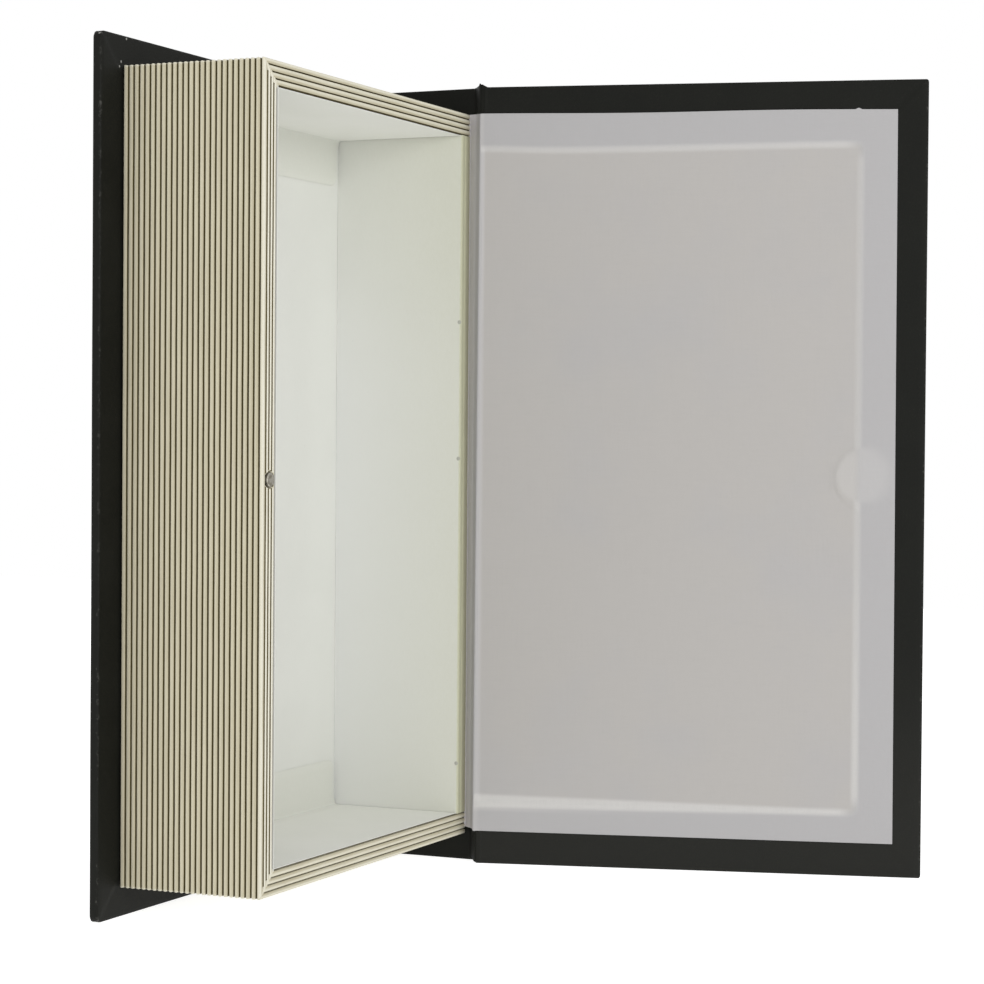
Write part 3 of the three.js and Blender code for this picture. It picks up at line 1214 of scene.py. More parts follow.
@dataclass
class Case:
    """The black cloth and the boards of the back cover, the spine and the front cover."""

    book: Book
    hinge: Hinge
    finish: Material
    board: Material
    slope: float = 1.2 * MM
    groove: float = 0.85 * MM
    soft: float = 0.6 * MM
    groove_soft: float = 0.5 * MM
    joint_soft: float = 0.45 * MM
    back_corner: float = 2.2 * MM
    cover_corner: float = 0.8 * MM
    ear_out: float = 0.15 * MM
    ridge_in: float = 1.6 * MM
    clipped: float = 1.2 * MM
    spine_turn_in: float = 6 * MM
    flush: float = 0.05 * MM
    shallow: float = 0.25 * MM
    board_step: float = 8 * MM

    def back(self) -> None:
        """Wrap the back cover, the grooved back joint and the spine."""
        b = self.book
        skin = ClothSkin(b.height, b.fore, -1.0, self.back_corner)
        floor = b.back_in + self.groove
        corners = [
            (b.fore, b.back_in, self.soft),
            (b.spine_in, b.back_in, 0.0),
            (b.spine_in, b.spine_front, self.soft),
            (b.spine_out, b.spine_front, self.soft),
            (b.spine_out, b.back_out, self.soft),
            (b.spine_in, b.back_out, self.soft),
            (b.spine_in - self.slope, floor, self.groove_soft),
            (b.back_end + self.slope, floor, self.groove_soft),
            (b.back_end, b.back_out, self.soft),
            (b.fore, b.back_out, self.soft),
        ]
        fore_end = b.fore + skin.fore_turn_in

        def inner(x: float, y: float) -> bool:
            """Whether a point of the section lies inside the back cover."""
            return y < b.back_in + self.flush and x < b.back_end

        def bare(middle: Vector) -> bool:
            """Whether a face is left open.

            Args:
                middle: The face's middle.

            Returns:
                Whether a board, or the tray, lies bare there.
            """
            on_back = middle.y < b.back_in + self.shallow and fore_end < middle.x < b.spine_in
            within = b.spine_front + self.spine_turn_in < middle.y < b.back_in
            on_spine = b.back_end < middle.x < b.spine_in + self.shallow and within
            return skin.between_ends(middle.z) and (on_back or on_spine)

        made = skin.build("case_cloth_skin", corners, (0, 2, 3, 4, 5, 8, 9), inner, bare)
        hang(made, Body.CASE, self.finish, ["case_cloth"])

    def front(self) -> None:
        """Wrap the front cover, which is left open at the joint."""
        b = self.book
        ear = Vector((b.cover_end + self.ear_out, b.cover_in))
        ridge = b.cover_end - self.ridge_in
        skin = ClothSkin(b.height, b.fore, 1.0, self.cover_corner, ear, ridge, b.droop)
        corners = [
            (b.fore, b.cover_out, self.soft),
            (b.cover_end, b.cover_out, self.soft),
            (b.cover_end, b.cover_in, self.joint_soft),
            (b.fore, b.cover_in, self.soft),
        ]
        fore_end = b.fore + skin.fore_turn_in

        def inner(x: float, y: float) -> bool:
            """Whether a point of the section lies inside the front cover."""
            return y > b.cover_in - self.flush

        def bare(middle: Vector) -> bool:
            """Whether a face is left open, as the paper or the joint covers it."""
            on_face = middle.y > b.cover_in - self.shallow and middle.x > fore_end
            return skin.between_ends(middle.z) and on_face

        made = skin.build("front_cover_skin", corners, (0, 1, 3), inner, bare)
        swing = self.hinge.swing()
        hang(made, Body.COVER, self.finish, ["front_cover_cloth"], swing)

    def cover_board(self, name: str, low: Vector, high: Vector, droop: Curve) -> Piece:
        """Build a cover's board, with its fore corners clipped to fit into the cloth's.

        Args:
            name: The new object's name.
            low: The board's lowest corner.
            high: Its highest corner.
            droop: How far its head edge is lowered at a place across the cover.

        Returns:
            The new object.
        """
        surface = Surface(name)
        rings = []
        for x in chain((low.x, low.x + self.clipped, high.x), (self.clipped, self.board_step)):
            cut = max(0.0, self.clipped - (x - low.x))
            top, foot = high.z - droop(x) - cut, low.z + cut
            section = ((low.y, foot), (high.y, foot), (high.y, top), (low.y, top))
            rings.append([surface.point((x, y, z)) for y, z in section])
        surface.tube(rings)
        return surface.make()

    def boards(self) -> None:
        """Build the covers' boards, and dress the spine's board and the tray's floor card."""
        low, high = self.hinge.shut_box("front_board")
        front = self.cover_board("front_cover_board", low, high, self.book.droop)
        hang(front, Body.COVER, self.board, ["front_board"], self.hinge.swing())
        low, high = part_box("back_board")
        back = self.cover_board("back_cover_board", low, high, lambda x: 0.0)
        hang(back, Body.CASE, self.board, ["back_board"])
        dress(self.board, "spine_board", "floor_card")

    def build(self) -> None:
        """Build all of the case."""
        self.back()
        self.front()
        self.boards()


@dataclass
class Strip:
    """A flexible strip that stands upright, drawn from its line as seen from above."""

    name: str
    line: Callable[[float], Outline]
    thickness: float
    heights: Sequence[float]
    lift: Callable[[float, float], float]

    def build(self, **values: float) -> Piece:
        """Build the strip.

        Args:
            **values: Point values that are the same all over it.

        Returns:
            The new object.
        """
        surface = Surface(self.name)
        rows = []
        for z in self.heights:
            path = self.line(z)
            last = len(path) - 1
            reach = [0.0]
            for here, after in zip(path, path[1:]):
                reach.append(reach[-1] + (after - here).length)
            row = []
            for side, order in ((1, 1), (-1, -1)):
                for index in range(last + 1)[::order]:
                    along = path[min(index + 1, last)] - path[max(index - 1, 0)]
                    across = Vector((along.y, -along.x)).normalized() * (side * self.thickness / 2)
                    x, y = path[index] + across
                    share = reach[index] / reach[-1]
                    height = z + self.lift(share, z)
                    row.append(surface.point((x, y, height), span=share, **values))
            rows.append(row)
        surface.grid(rows, closed=True)
        for row in (rows[0], rows[-1]):
            half = len(row) // 2
            surface.band(row[:half], row[: half - 1 : -1])
        made = surface.make()
        shade(made)
        return made


@dataclass
class Joint:
    """The cloth and the paper that bridge the joint between the case and the front cover.

    A line across the joint is held by four points. The first two are measured from the spine or
    from the tray's corner, and the last two from the end of the cover's outer or inner side.
    """

    book: Book
    hinge: Hinge
    cloth: Material
    paper: Material
    cloth_thickness: float = 0.30 * MM
    paper_thickness: float = 0.20 * MM
    outer_spine: tuple[Flat, Flat] = ((0.7 * MM, 0.17 * MM), (-1.4 * MM, 0.15 * MM))
    outer_cover: tuple[Flat, Flat] = ((1.3 * MM, 0.15 * MM), (-0.9 * MM, 0.17 * MM))
    inner_spine: tuple[Flat, Flat] = ((0.1 * MM, 1.6 * MM), (-0.6 * MM, 0.2 * MM))
    inner_cover: tuple[Flat, Flat] = ((1.2 * MM, -0.1 * MM), (-0.4 * MM, -0.13 * MM))
    paper_tray: tuple[Flat, Flat] = ((0.08 * MM, 0.5 * MM), (-0.05 * MM, -0.35 * MM))
    paper_cover: tuple[Flat, Flat] = ((0.25 * MM, 0.33 * MM), (-0.6 * MM, 0.30 * MM))
    end_turn_in: float = 20.1 * MM
    fold_foot: float = 0.4 * MM
    low_margin: float = 11.2 * MM
    high_margin: float = 9.9 * MM
    ear: float = 0.75 * MM
    ear_depth: float = 6 * MM
    ear_rise: Span = (0.80, 0.87)
    ear_fall: Span = (0.90, 0.99)
    ear_lost: float = 0.8
    foot: float = 0.9 * MM
    foot_depth: float = 8 * MM
    foot_fall: Span = (0.66, 0.90)
    head_rise: float = 0.75 * MM
    step_up: Span = (0.35 * MM, 0.85 * MM)
    step_fall: Span = (0.84, 0.94)
    cut_depth: float = 4 * MM
    crease: float = 0.16 * MM
    crease_at: float = 0.55
    crease_width: float = 0.10
    sag: float = 0.08 * MM
    bend_steps: int = 16

    def opened(self, x: float, y: float) -> Vector:
        """Where a point of the shut cover stands, seen from above."""
        swung = self.hinge.swing() @ Vector((x, y, 0.0))
        return Vector((swung.x, swung.y))

    def cloth_line(self, spine: Sequence[Flat], cover: Sequence[Flat], level: float) -> Outline:
        """A smooth line from the spine to the cover.

        Args:
            spine: Its first two points.
            cover: Its last two points.
            level: The side of the cover that these are measured from.

        Returns:
            Points along it.
        """
        b = self.book
        start, leave = (Vector((b.spine_in + x, b.spine_front + y)) for x, y in spine)
        arrive, end = (self.opened(b.cover_end + x, level + y) for x, y in cover)
        made: Outline = []
        for step in range(self.bend_steps + 1):
            t = step / self.bend_steps
            near = start * (1 - t) ** 3 + leave * (3 * t * (1 - t) ** 2)
            made.append(near + arrive * (3 * t * t * (1 - t)) + end * t**3)
        return made

    def lift(self, share: float, z: float) -> float:
        """How far the cloth's edge is off its level: an ear at the head, a rise at the tail.

        Args:
            share: How far along the line a point lies, from 0 to 1.
            z: Its level.

        Returns:
            How much higher it lies.
        """
        tall = self.book.height
        peak = smooth(share, *self.ear_rise) - self.ear_lost * smooth(share, *self.ear_fall)
        bulge = peak * self.ear * smooth(z, tall - self.ear_depth, tall)
        low = 1 - smooth(z, 0, self.foot_depth)
        return bulge + self.foot * (1 - smooth(share, *self.foot_fall)) * low

    def paper_lift(self, share: float, z: float) -> float:
        """How far the paper's cut ends are off their level, which step down at the cover's edge.

        Args:
            share: How far along the line a point lies, from 0 to 1.
            z: Its level.

        Returns:
            How much higher it lies.
        """
        top = self.book.height - self.high_margin
        head = self.head_rise * (1 - share) * smooth(z, top - self.cut_depth, top)
        low, high = self.step_up
        raised = (low + (high - low) * share) * (1 - smooth(share, *self.step_fall))
        near_tail = 1 - smooth(z, self.low_margin, self.low_margin + self.cut_depth)
        return head + raised * near_tail

    def join(self, strip: Piece, finish: Material, path: Outline) -> None:
        """Dress a strip and bake its place into its mesh.

        Args:
            strip: The strip.
            finish: Its material.
            path: Its line, from the case to the cover. Not used.
        """
        strip.data.materials.append(finish)
        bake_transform(strip)
        log.info("%s: %d faces", strip.name, len(strip.data.polygons))

    def cloth_strips(self) -> None:
        """Build the cloth across the joint, with its turned-in ends."""
        b = self.book
        outside = self.cloth_line(self.outer_spine, self.outer_cover, b.cover_out)
        inside = self.cloth_line(self.inner_spine, self.inner_cover, b.cover_in)
        pieces = (
            ("joint_cloth_strip", outside, (0.0, b.height), 2.0 * MM),
            ("joint_tail_fold", inside, (self.fold_foot, self.end_turn_in), 1.2 * MM),
            ("joint_head_fold", inside, (b.height - self.end_turn_in, b.height), 1.2 * MM),
        )
        for name, path, ends, gap in pieces:
            rows = steps_between(*ends, gap)
            strip = Strip(name, lambda z: path, self.cloth_thickness, rows, self.lift)
            made = strip.build(edge=0.2)
            if path is outside:
                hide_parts("joint_cloth")
            self.join(made, self.cloth, path)

    def paper_line(self, z: float) -> Outline:
        """The endpaper's line across the joint, with a slight crease.

        Args:
            z: The height that it runs at.

        Returns:
            Points along it.
        """
        b = self.book
        start, corner = (Vector((b.tray_spine + x, b.rim + y)) for x, y in self.paper_tray)
        end = b.cover_end + b.lean(z)
        fold, flat = (self.opened(end + x, b.cover_in + y) for x, y in self.paper_cover)
        path: Outline = [start]
        for step in range(self.bend_steps + 1):
            t = step / self.bend_steps
            creased = math.exp(-(((t - self.crease_at) / self.crease_width) ** 2))
            sag = self.crease * creased + self.sag * math.sin(math.pi * t)
            path.append(corner.lerp(fold, t) + Vector((1.0, -1.0)) * (sag / math.sqrt(2)))
        return path + [flat]

    def paper_strip(self) -> None:
        """Build the endpaper across the joint."""
        rows = steps_between(self.low_margin, self.book.height - self.high_margin, 3 * MM)
        name = "joint_endpaper_strip"
        strip = Strip(name, self.paper_line, self.paper_thickness, rows, self.paper_lift)
        made = strip.build(strip=1.0)
        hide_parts("joint_endpaper")
        self.join(made, self.paper, self.paper_line(self.book.height / 2))

    def build(self) -> None:
        """Build all of the joint."""
        self.cloth_strips()
        self.paper_strip()


@dataclass
class CoverPaper:
    """The endpaper on the inside of the front cover, and the steel disc that it hides."""

    book: Book
    hinge: Hinge
    finish: Material
    steel: Material
    thickness: float = 0.20 * MM
    lift: float = 0.25 * MM
    fore_margin: float = 9.7 * MM
    low_margin: float = 11.4 * MM
    high_margin: float = 9.8 * MM
    fore_turn_in: float = 21.2 * MM
    end_turn_in: float = 20.4 * MM
    round: float = 3.0 * MM
    dip: float = 0.50 * MM
    slope: float = 2.6 * MM
    slope_spread: float = 1.4 * MM
    spread_reach: float = 110 * MM
    wave: float = 0.05 * MM
    tilt: Span = (-0.22 * MM, 0.58 * MM)
    tilt_reach: float = 9 * MM
    trim: float = 0.17 * MM
    trim_wave: float = 0.19 * MM
    trim_length: float = 105 * MM
    trim_depth: float = 8 * MM
    burr_at: float = 23.3 * MM
    burr: float = 0.5 * MM
    burr_half: float = 1.3 * MM
    bound: Span = (0.4 * MM, 1.8 * MM)
    # How strongly the fold by the cover's end gets the painted highlight
    fold_highlight: float = 0.29
    fold_reach: float = 2.4 * MM
    bowed: Span = (0.3 * MM, 1.0 * MM)
    bow_rise: Span = (0.0, 28 * MM)
    bow_fall: Span = (30 * MM, 140 * MM)
    ridge_rise: Span = (-0.6 * MM, 1.0 * MM)
    rise_spread: Span = (-1.3 * MM, -1.1 * MM)
    ridge_fall: Span = (1.5 * MM, 3.0 * MM)
    fall_spread: Span = (1.3 * MM, 1.5 * MM)
    ridge_in: float = 1.2 * MM
    ridge_faded: float = 0.4
    faded_above: Span = (30 * MM, 130 * MM)
    corner_share: float = 0.25
    corner_faded: Span = (1.0 * MM, 6.0 * MM)
    disc_radius: float = 9.5 * MM
    disc_inset: float = 19.6 * MM
    held: Span = (0.5 * MM, 1.9 * MM)
    held_up: float = 0.7
    patch_shift: Flat = (0.8 * MM, 1.5 * MM)
    patch_edge: Span = (-1.4 * MM, 0.6 * MM)
    patch_soft: float = 2.2 * MM
    patch_fore: Span = (-2 * MM, 7 * MM)
    patch_ragged: float = 0.5 * MM
    patch_pale: float = 0.28

    def cut(self, x: float, z: float) -> Flat:
        """Where a point of the sheet really lies, as its edges were cut by hand.

        Args:
            x: Its place across the cover.
            z: Its height.

        Returns:
            The same two, moved a little near the sheet's edges.
        """
        b = self.book
        first = b.fore + self.fore_margin
        top = b.height - self.high_margin
        turn = 2 * math.pi * (b.cover_end - x) / self.trim_length
        lowered = self.trim - self.trim_wave * math.cos(turn)
        low, high = self.tilt
        tilt = low + (high - low) * z / b.height
        x += tilt * (1 - smooth(x, first, first + self.tilt_reach))
        x += b.lean(z) * smooth(x, b.cover_end - self.fold_reach, b.cover_end)
        return x, z - lowered * smooth(z, top - self.trim_depth, top)

    def bow(self, x: float) -> float:
        """How much lower the turned-in cloth's edge lies at the head, as it was folded by hand.

        Args:
            x: A place across the cover.

        Returns:
            The drop there.
        """
        away = self.book.cover_end - x
        low, high = self.bowed
        drop = low + (high - low) * smooth(away, *self.bow_rise)
        return drop * (1 - smooth(away, *self.bow_fall))

    def spread(self, x: float, z: float) -> float:
        """How much wider the bridged edge is, from 0 to 1, as it is at the tail near the joint."""
        away = self.book.cover_end - x
        return max(0.0, 1 - away / self.spread_reach) if z < self.book.height / 2 else 0.0

    def inside(self, x: float, z: float) -> float:
        """How far a point lies inside the edge of the turned-in cloth, with rounded corners.

        Args:
            x: Its place across the cover.
            z: Its height.

        Returns:
            The distance, which is negative over the cloth.
        """
        b = self.book
        across = x - (b.fore + self.fore_turn_in)
        end = min(z, b.height - z - self.bow(x)) - self.end_turn_in
        if across < self.round and end < self.round:
            return self.round - math.hypot(self.round - across, self.round - end)
        return min(across, end)

    def ridge(self, x: float, z: float) -> float:
        """How strongly the painted highlight on the bridged edge shows, which is less at its
        corners and higher up.

        Args:
            x: A place across the cover.
            z: Its height.

        Returns:
            The painted highlight's strength there, from 0 to 1.
        """
        b = self.book
        depth, share = self.inside(x, z), self.spread(x, z)
        rise = smooth(depth, *widened(self.ridge_rise, self.rise_spread, share))
        fall = smooth(depth, *widened(self.ridge_fall, self.fall_spread, share))
        across = x - (b.fore + self.fore_turn_in) - self.ridge_in
        end = min(z, b.height - z) - self.end_turn_in - self.ridge_in
        strength = 1 - self.ridge_faded * smooth(z, *self.faded_above)
        whole = smooth(math.hypot(across, end), *self.corner_faded)
        return rise * (1 - fall) * strength * (self.corner_share + (1 - self.corner_share) * whole)

    def disc(self, x: float, z: float) -> tuple[float, float]:
        """What the hidden disc does to the sheet.

        Args:
            x: A place across the cover.
            z: Its height.

        Returns:
            How pale its patch is there, and how far the disc holds the sheet up, from 0 to 1.
        """
        across = x - (self.book.fore + self.disc_inset)
        up = z - self.book.height / 2
        held = 1 - smooth(math.hypot(across, up) - self.disc_radius, *self.held)
        across, up = across - self.patch_shift[0], up - self.patch_shift[1]
        out = math.hypot(across, up) - self.disc_radius
        out += self.patch_ragged * ripple(x, z, 6 * MM, 4.0)
        soft = self.patch_soft * smooth(-across, *self.patch_fore)
        return 1 - smooth(out, *widened(self.patch_edge, (-1.0, 1.0), soft)), held

    def columns(self) -> list[float]:
        """The places across the cover at which the sheet has points.

        Returns:
            The places.
        """
        b = self.book
        turn = b.fore + self.fore_turn_in
        first, bound = b.fore + self.fore_margin, b.cover_end - self.fold_reach
        marks = (first, turn - 1 * MM, turn + 9 * MM, bound, b.cover_end)
        return chain(marks, (1.5 * MM, 0.5 * MM, 3.0 * MM, 0.4 * MM))

    def rows(self) -> list[float]:
        """The heights at which the sheet has points, closer together at its edges and the disc.

        Returns:
            The heights.
        """
        tall, middle = self.book.height, self.book.height / 2
        over, under = self.end_turn_in - 1 * MM, self.end_turn_in + 9 * MM
        reach = self.disc_radius + 5 * MM
        low = (self.low_margin, over, under, middle - reach)
        high = (middle + reach, tall - under, tall - over, tall - self.high_margin)
        gaps = (1.5 * MM, 0.5 * MM, 4.0 * MM)
        return chain(low + high, gaps + (0.8 * MM,) + gaps[::-1])

    def build(self) -> None:
        """Build the sheet and dress the disc."""
        b = self.book
        top = b.cover_in + self.lift + self.thickness
        surface = Surface("front_endpaper_sheet")
        grid = []
        for z in self.rows():
            row = []
            for x in self.columns():
                patch, held = self.disc(x, z)
                bound = 1 - smooth(b.cover_end - x, *self.bound)
                slope = self.slope + self.slope_spread * self.spread(x, z)
                sunk = smooth(self.inside(x, z), 0.0, slope) * (1 - bound)
                y = top - self.dip * sunk * (1 - self.held_up * max(patch, held))
                y += self.wave * ripple(x, z, 30 * MM, 8.0)
                across, height = self.cut(x, z)
                if z > b.height - self.high_margin - TINY:
                    away = abs(x - b.fore - self.burr_at)
                    height += self.burr * (1 - smooth(away, 0.0, self.burr_half))
                # Painted highlight on the bridged edge and at the fold by the cover's end, with
                # the paler patch over the disc
                pale = patch * self.patch_pale + bound * self.fold_highlight
                ridge = min(1, self.ridge(x, z) * (1 - patch) + pale)
                row.append(surface.point((across, y, height), inside=sunk, ridge=ridge))
            grid.append(row)
        surface.grid(grid)
        made = surface.make()
        face_towards(made, Vector((0.0, 1.0, 0.0)))
        thicken(made, self.thickness)
        shade(made)
        swing = self.hinge.swing()
        hang(made, Body.COVER, self.finish, ["front_endpaper"], swing)
        dress(self.steel, "keeper_disc")


# The tray


@dataclass(frozen=True)
class BandPoint:
    """A point of a banded wall's section, along one face."""

    along: float
    depth: float
    groove: float
    across: float
    row: float


@dataclass
class PageBands:
    """The milled bands that stand for pages."""

    pitch: float = 1.92 * MM
    width: float = 0.64 * MM
    depth: float = 0.85 * MM
    crown: float = 0.17 * MM
    crown_power: float = 2.5
    offset: float = 0.12 * MM
    shares: tuple[float, ...] = (0.06, 0.16, 0.32, 0.5, 0.68, 0.84, 0.94)

    def section(self, length: float, backwards: bool) -> list[BandPoint]:
        """The points of one face, from the wall's outer corner inwards.

        Args:
            length: How long the face is. Its last groove is cut open by its end.
            backwards: Whether the bands are painted lighter, as painted light, on the side away
                from the corner.

        Returns:
            The points, with what the paint needs to know at each of them.
        """
        last = length - self.offset
        half = self.width / 2
        lip = (1.0, self.crown * 1.3, 0.45)
        side = (lip, (0.86, self.depth * 0.3, 1.0), (0.4, self.depth, 1.0))
        groove = [(-half * out, depth, brown) for out, depth, brown in side]
        groove += [(0.0, self.depth * 1.05, 1.0)]
        groove += [(half * out, depth, brown) for out, depth, brown in reversed(side)]
        points: list[BandPoint] = []
        start = 0.0
        for left in range(math.floor((last - self.width) / self.pitch), -1, -1):
            middle = last - left * self.pitch
            for share in self.shares:
                crowned = self.crown * abs(2 * share - 1) ** self.crown_power
                across = 1 - share if backwards else share
                along = start + (middle - half - start) * share
                points.append(BandPoint(along, crowned, 0.0, across, left))
            for out, depth, brown in groove:
                if left > 0 or out <= 0:
                    points.append(BandPoint(middle + out, depth, brown, 0.5, left))
            start = middle + half
        return points


@dataclass
class PageWall:
    """One grooved wall of the tray, with mitred or square ends."""

    name: str
    node: str
    length: float
    mitred: tuple[bool, bool]
    place: Callable[[float, float, float], Vector]
    face: PageBands
    rim: PageBands
    wall: float
    deep: float
    seed: float
    slant: float
    drilled: bool = False
    # How much groove paint the rim's grooves get; less paints them lighter, as painted light
    brown: float = 1.0
    seam: float = 0.02 * MM
    faded: Span = (0.75 * MM, 1.35 * MM)
    worn: Span = (0.3 * MM, 1.0 * MM)
    mitre_worn: float = 1.6
    wobble: float = 0.055 * MM
    wobble_length: float = 16 * MM
    uneven: float = 0.12
    uneven_length: float = 7 * MM
    rim_row: int = 40

    def stations(self) -> list[float]:
        """Places along the wall, closer together at its ends and at the magnet's seat.

        Returns:
            The places.
        """
        near = (0.0, 0.12, 0.3, 0.5, 0.7, 0.9, 1.1, 1.35, 1.7, 2.2, 3.0, 4.0)
        ends = [value * MM for value in near]
        middle = steps_between(ends[-1], self.length - ends[-1], 2.6 * MM)
        if self.drilled:
            half = self.length / 2
            middle = [place for place in middle if abs(place - half) > 4.5 * MM]
            middle = sorted(middle + steps_between(half - 4 * MM, half + 4 * MM, 0.4 * MM))
        return ends + middle[1:-1] + [self.length - value for value in reversed(ends)]

    def run(self, station: float, depth: float) -> float:
        """Where a station lies between the mitres, on a line inside the wall.

        Args:
            station: A place along the wall's outer side.
            depth: How deep the line lies.

        Returns:
            The station's place on that line.
        """
        lost = depth * self.slant + self.seam
        low, high = (lost if mitre else 0.0 for mitre in self.mitred)
        return low + (self.length - high - low) * station / self.length

    def from_mitres(self, station: float) -> list[float]:
        """How far a station lies from each of the wall's mitred ends."""
        ends = (station, self.length - station)
        return [end for end, mitre in zip(ends, self.mitred) if mitre]

    def rim_share(self, station: float) -> float:
        """How deep the rim's grooves are at a station, from 0 at a mitre to 1."""
        return math.prod(smooth(end, *self.faded) for end in self.from_mitres(station))

    def chipped(self, station: float, along: float) -> float:
        """How much paler the paint is, near the wall's outer corner and its mitred ends."""
        near = min(min(self.from_mitres(station)) * self.mitre_worn, along)
        return 1 - smooth(near, *self.worn)

    def build(self) -> Piece:
        """Build the wall's mesh.

        Returns:
            The new object.
        """
        face = self.face.section(self.deep, True)
        rim = self.rim.section(self.wall, False)
        surface = Surface(self.name)
        rings = []
        for at in self.stations():
            ring = []
            for point in reversed(face):
                shift = self.wobble * ripple(at, point.row, self.wobble_length, self.seed)
                along = min(point.along + shift, self.deep) if point.row else point.along
                swell = ripple(at, point.row, self.uneven_length, self.seed + 5)
                depth = point.depth * (1 + self.uneven * swell)
                place = self.place(depth, along, self.run(at, depth))
                values = {"groove": point.groove, "across": point.across, "along": at}
                values["corner"] = self.chipped(at, point.along)
                ring.append(surface.point(place, row=point.row, **values))
            share = self.rim_share(at)
            for point in rim:
                depth = point.depth * (share if point.groove else 1.0)
                shift = self.wobble * ripple(at, point.row, self.wobble_length, self.seed + 9)
                along = point.along + shift if point.row else point.along
                place = self.place(along, depth, self.run(at, along))
                groove = point.groove * share * self.brown
                values = {"groove": groove, "across": point.across, "along": at, "rim": 1.0}
                values["corner"] = self.chipped(at, point.along)
                ring.append(surface.point(place, row=self.rim_row + point.row, **values))
            for y in (self.deep / 2, self.deep):
                ring.append(surface.point(self.place(self.wall, y, self.run(at, self.wall))))
            rings.append(ring)
        surface.tube(rings)
        return surface.make(weld=0.001 * MM)


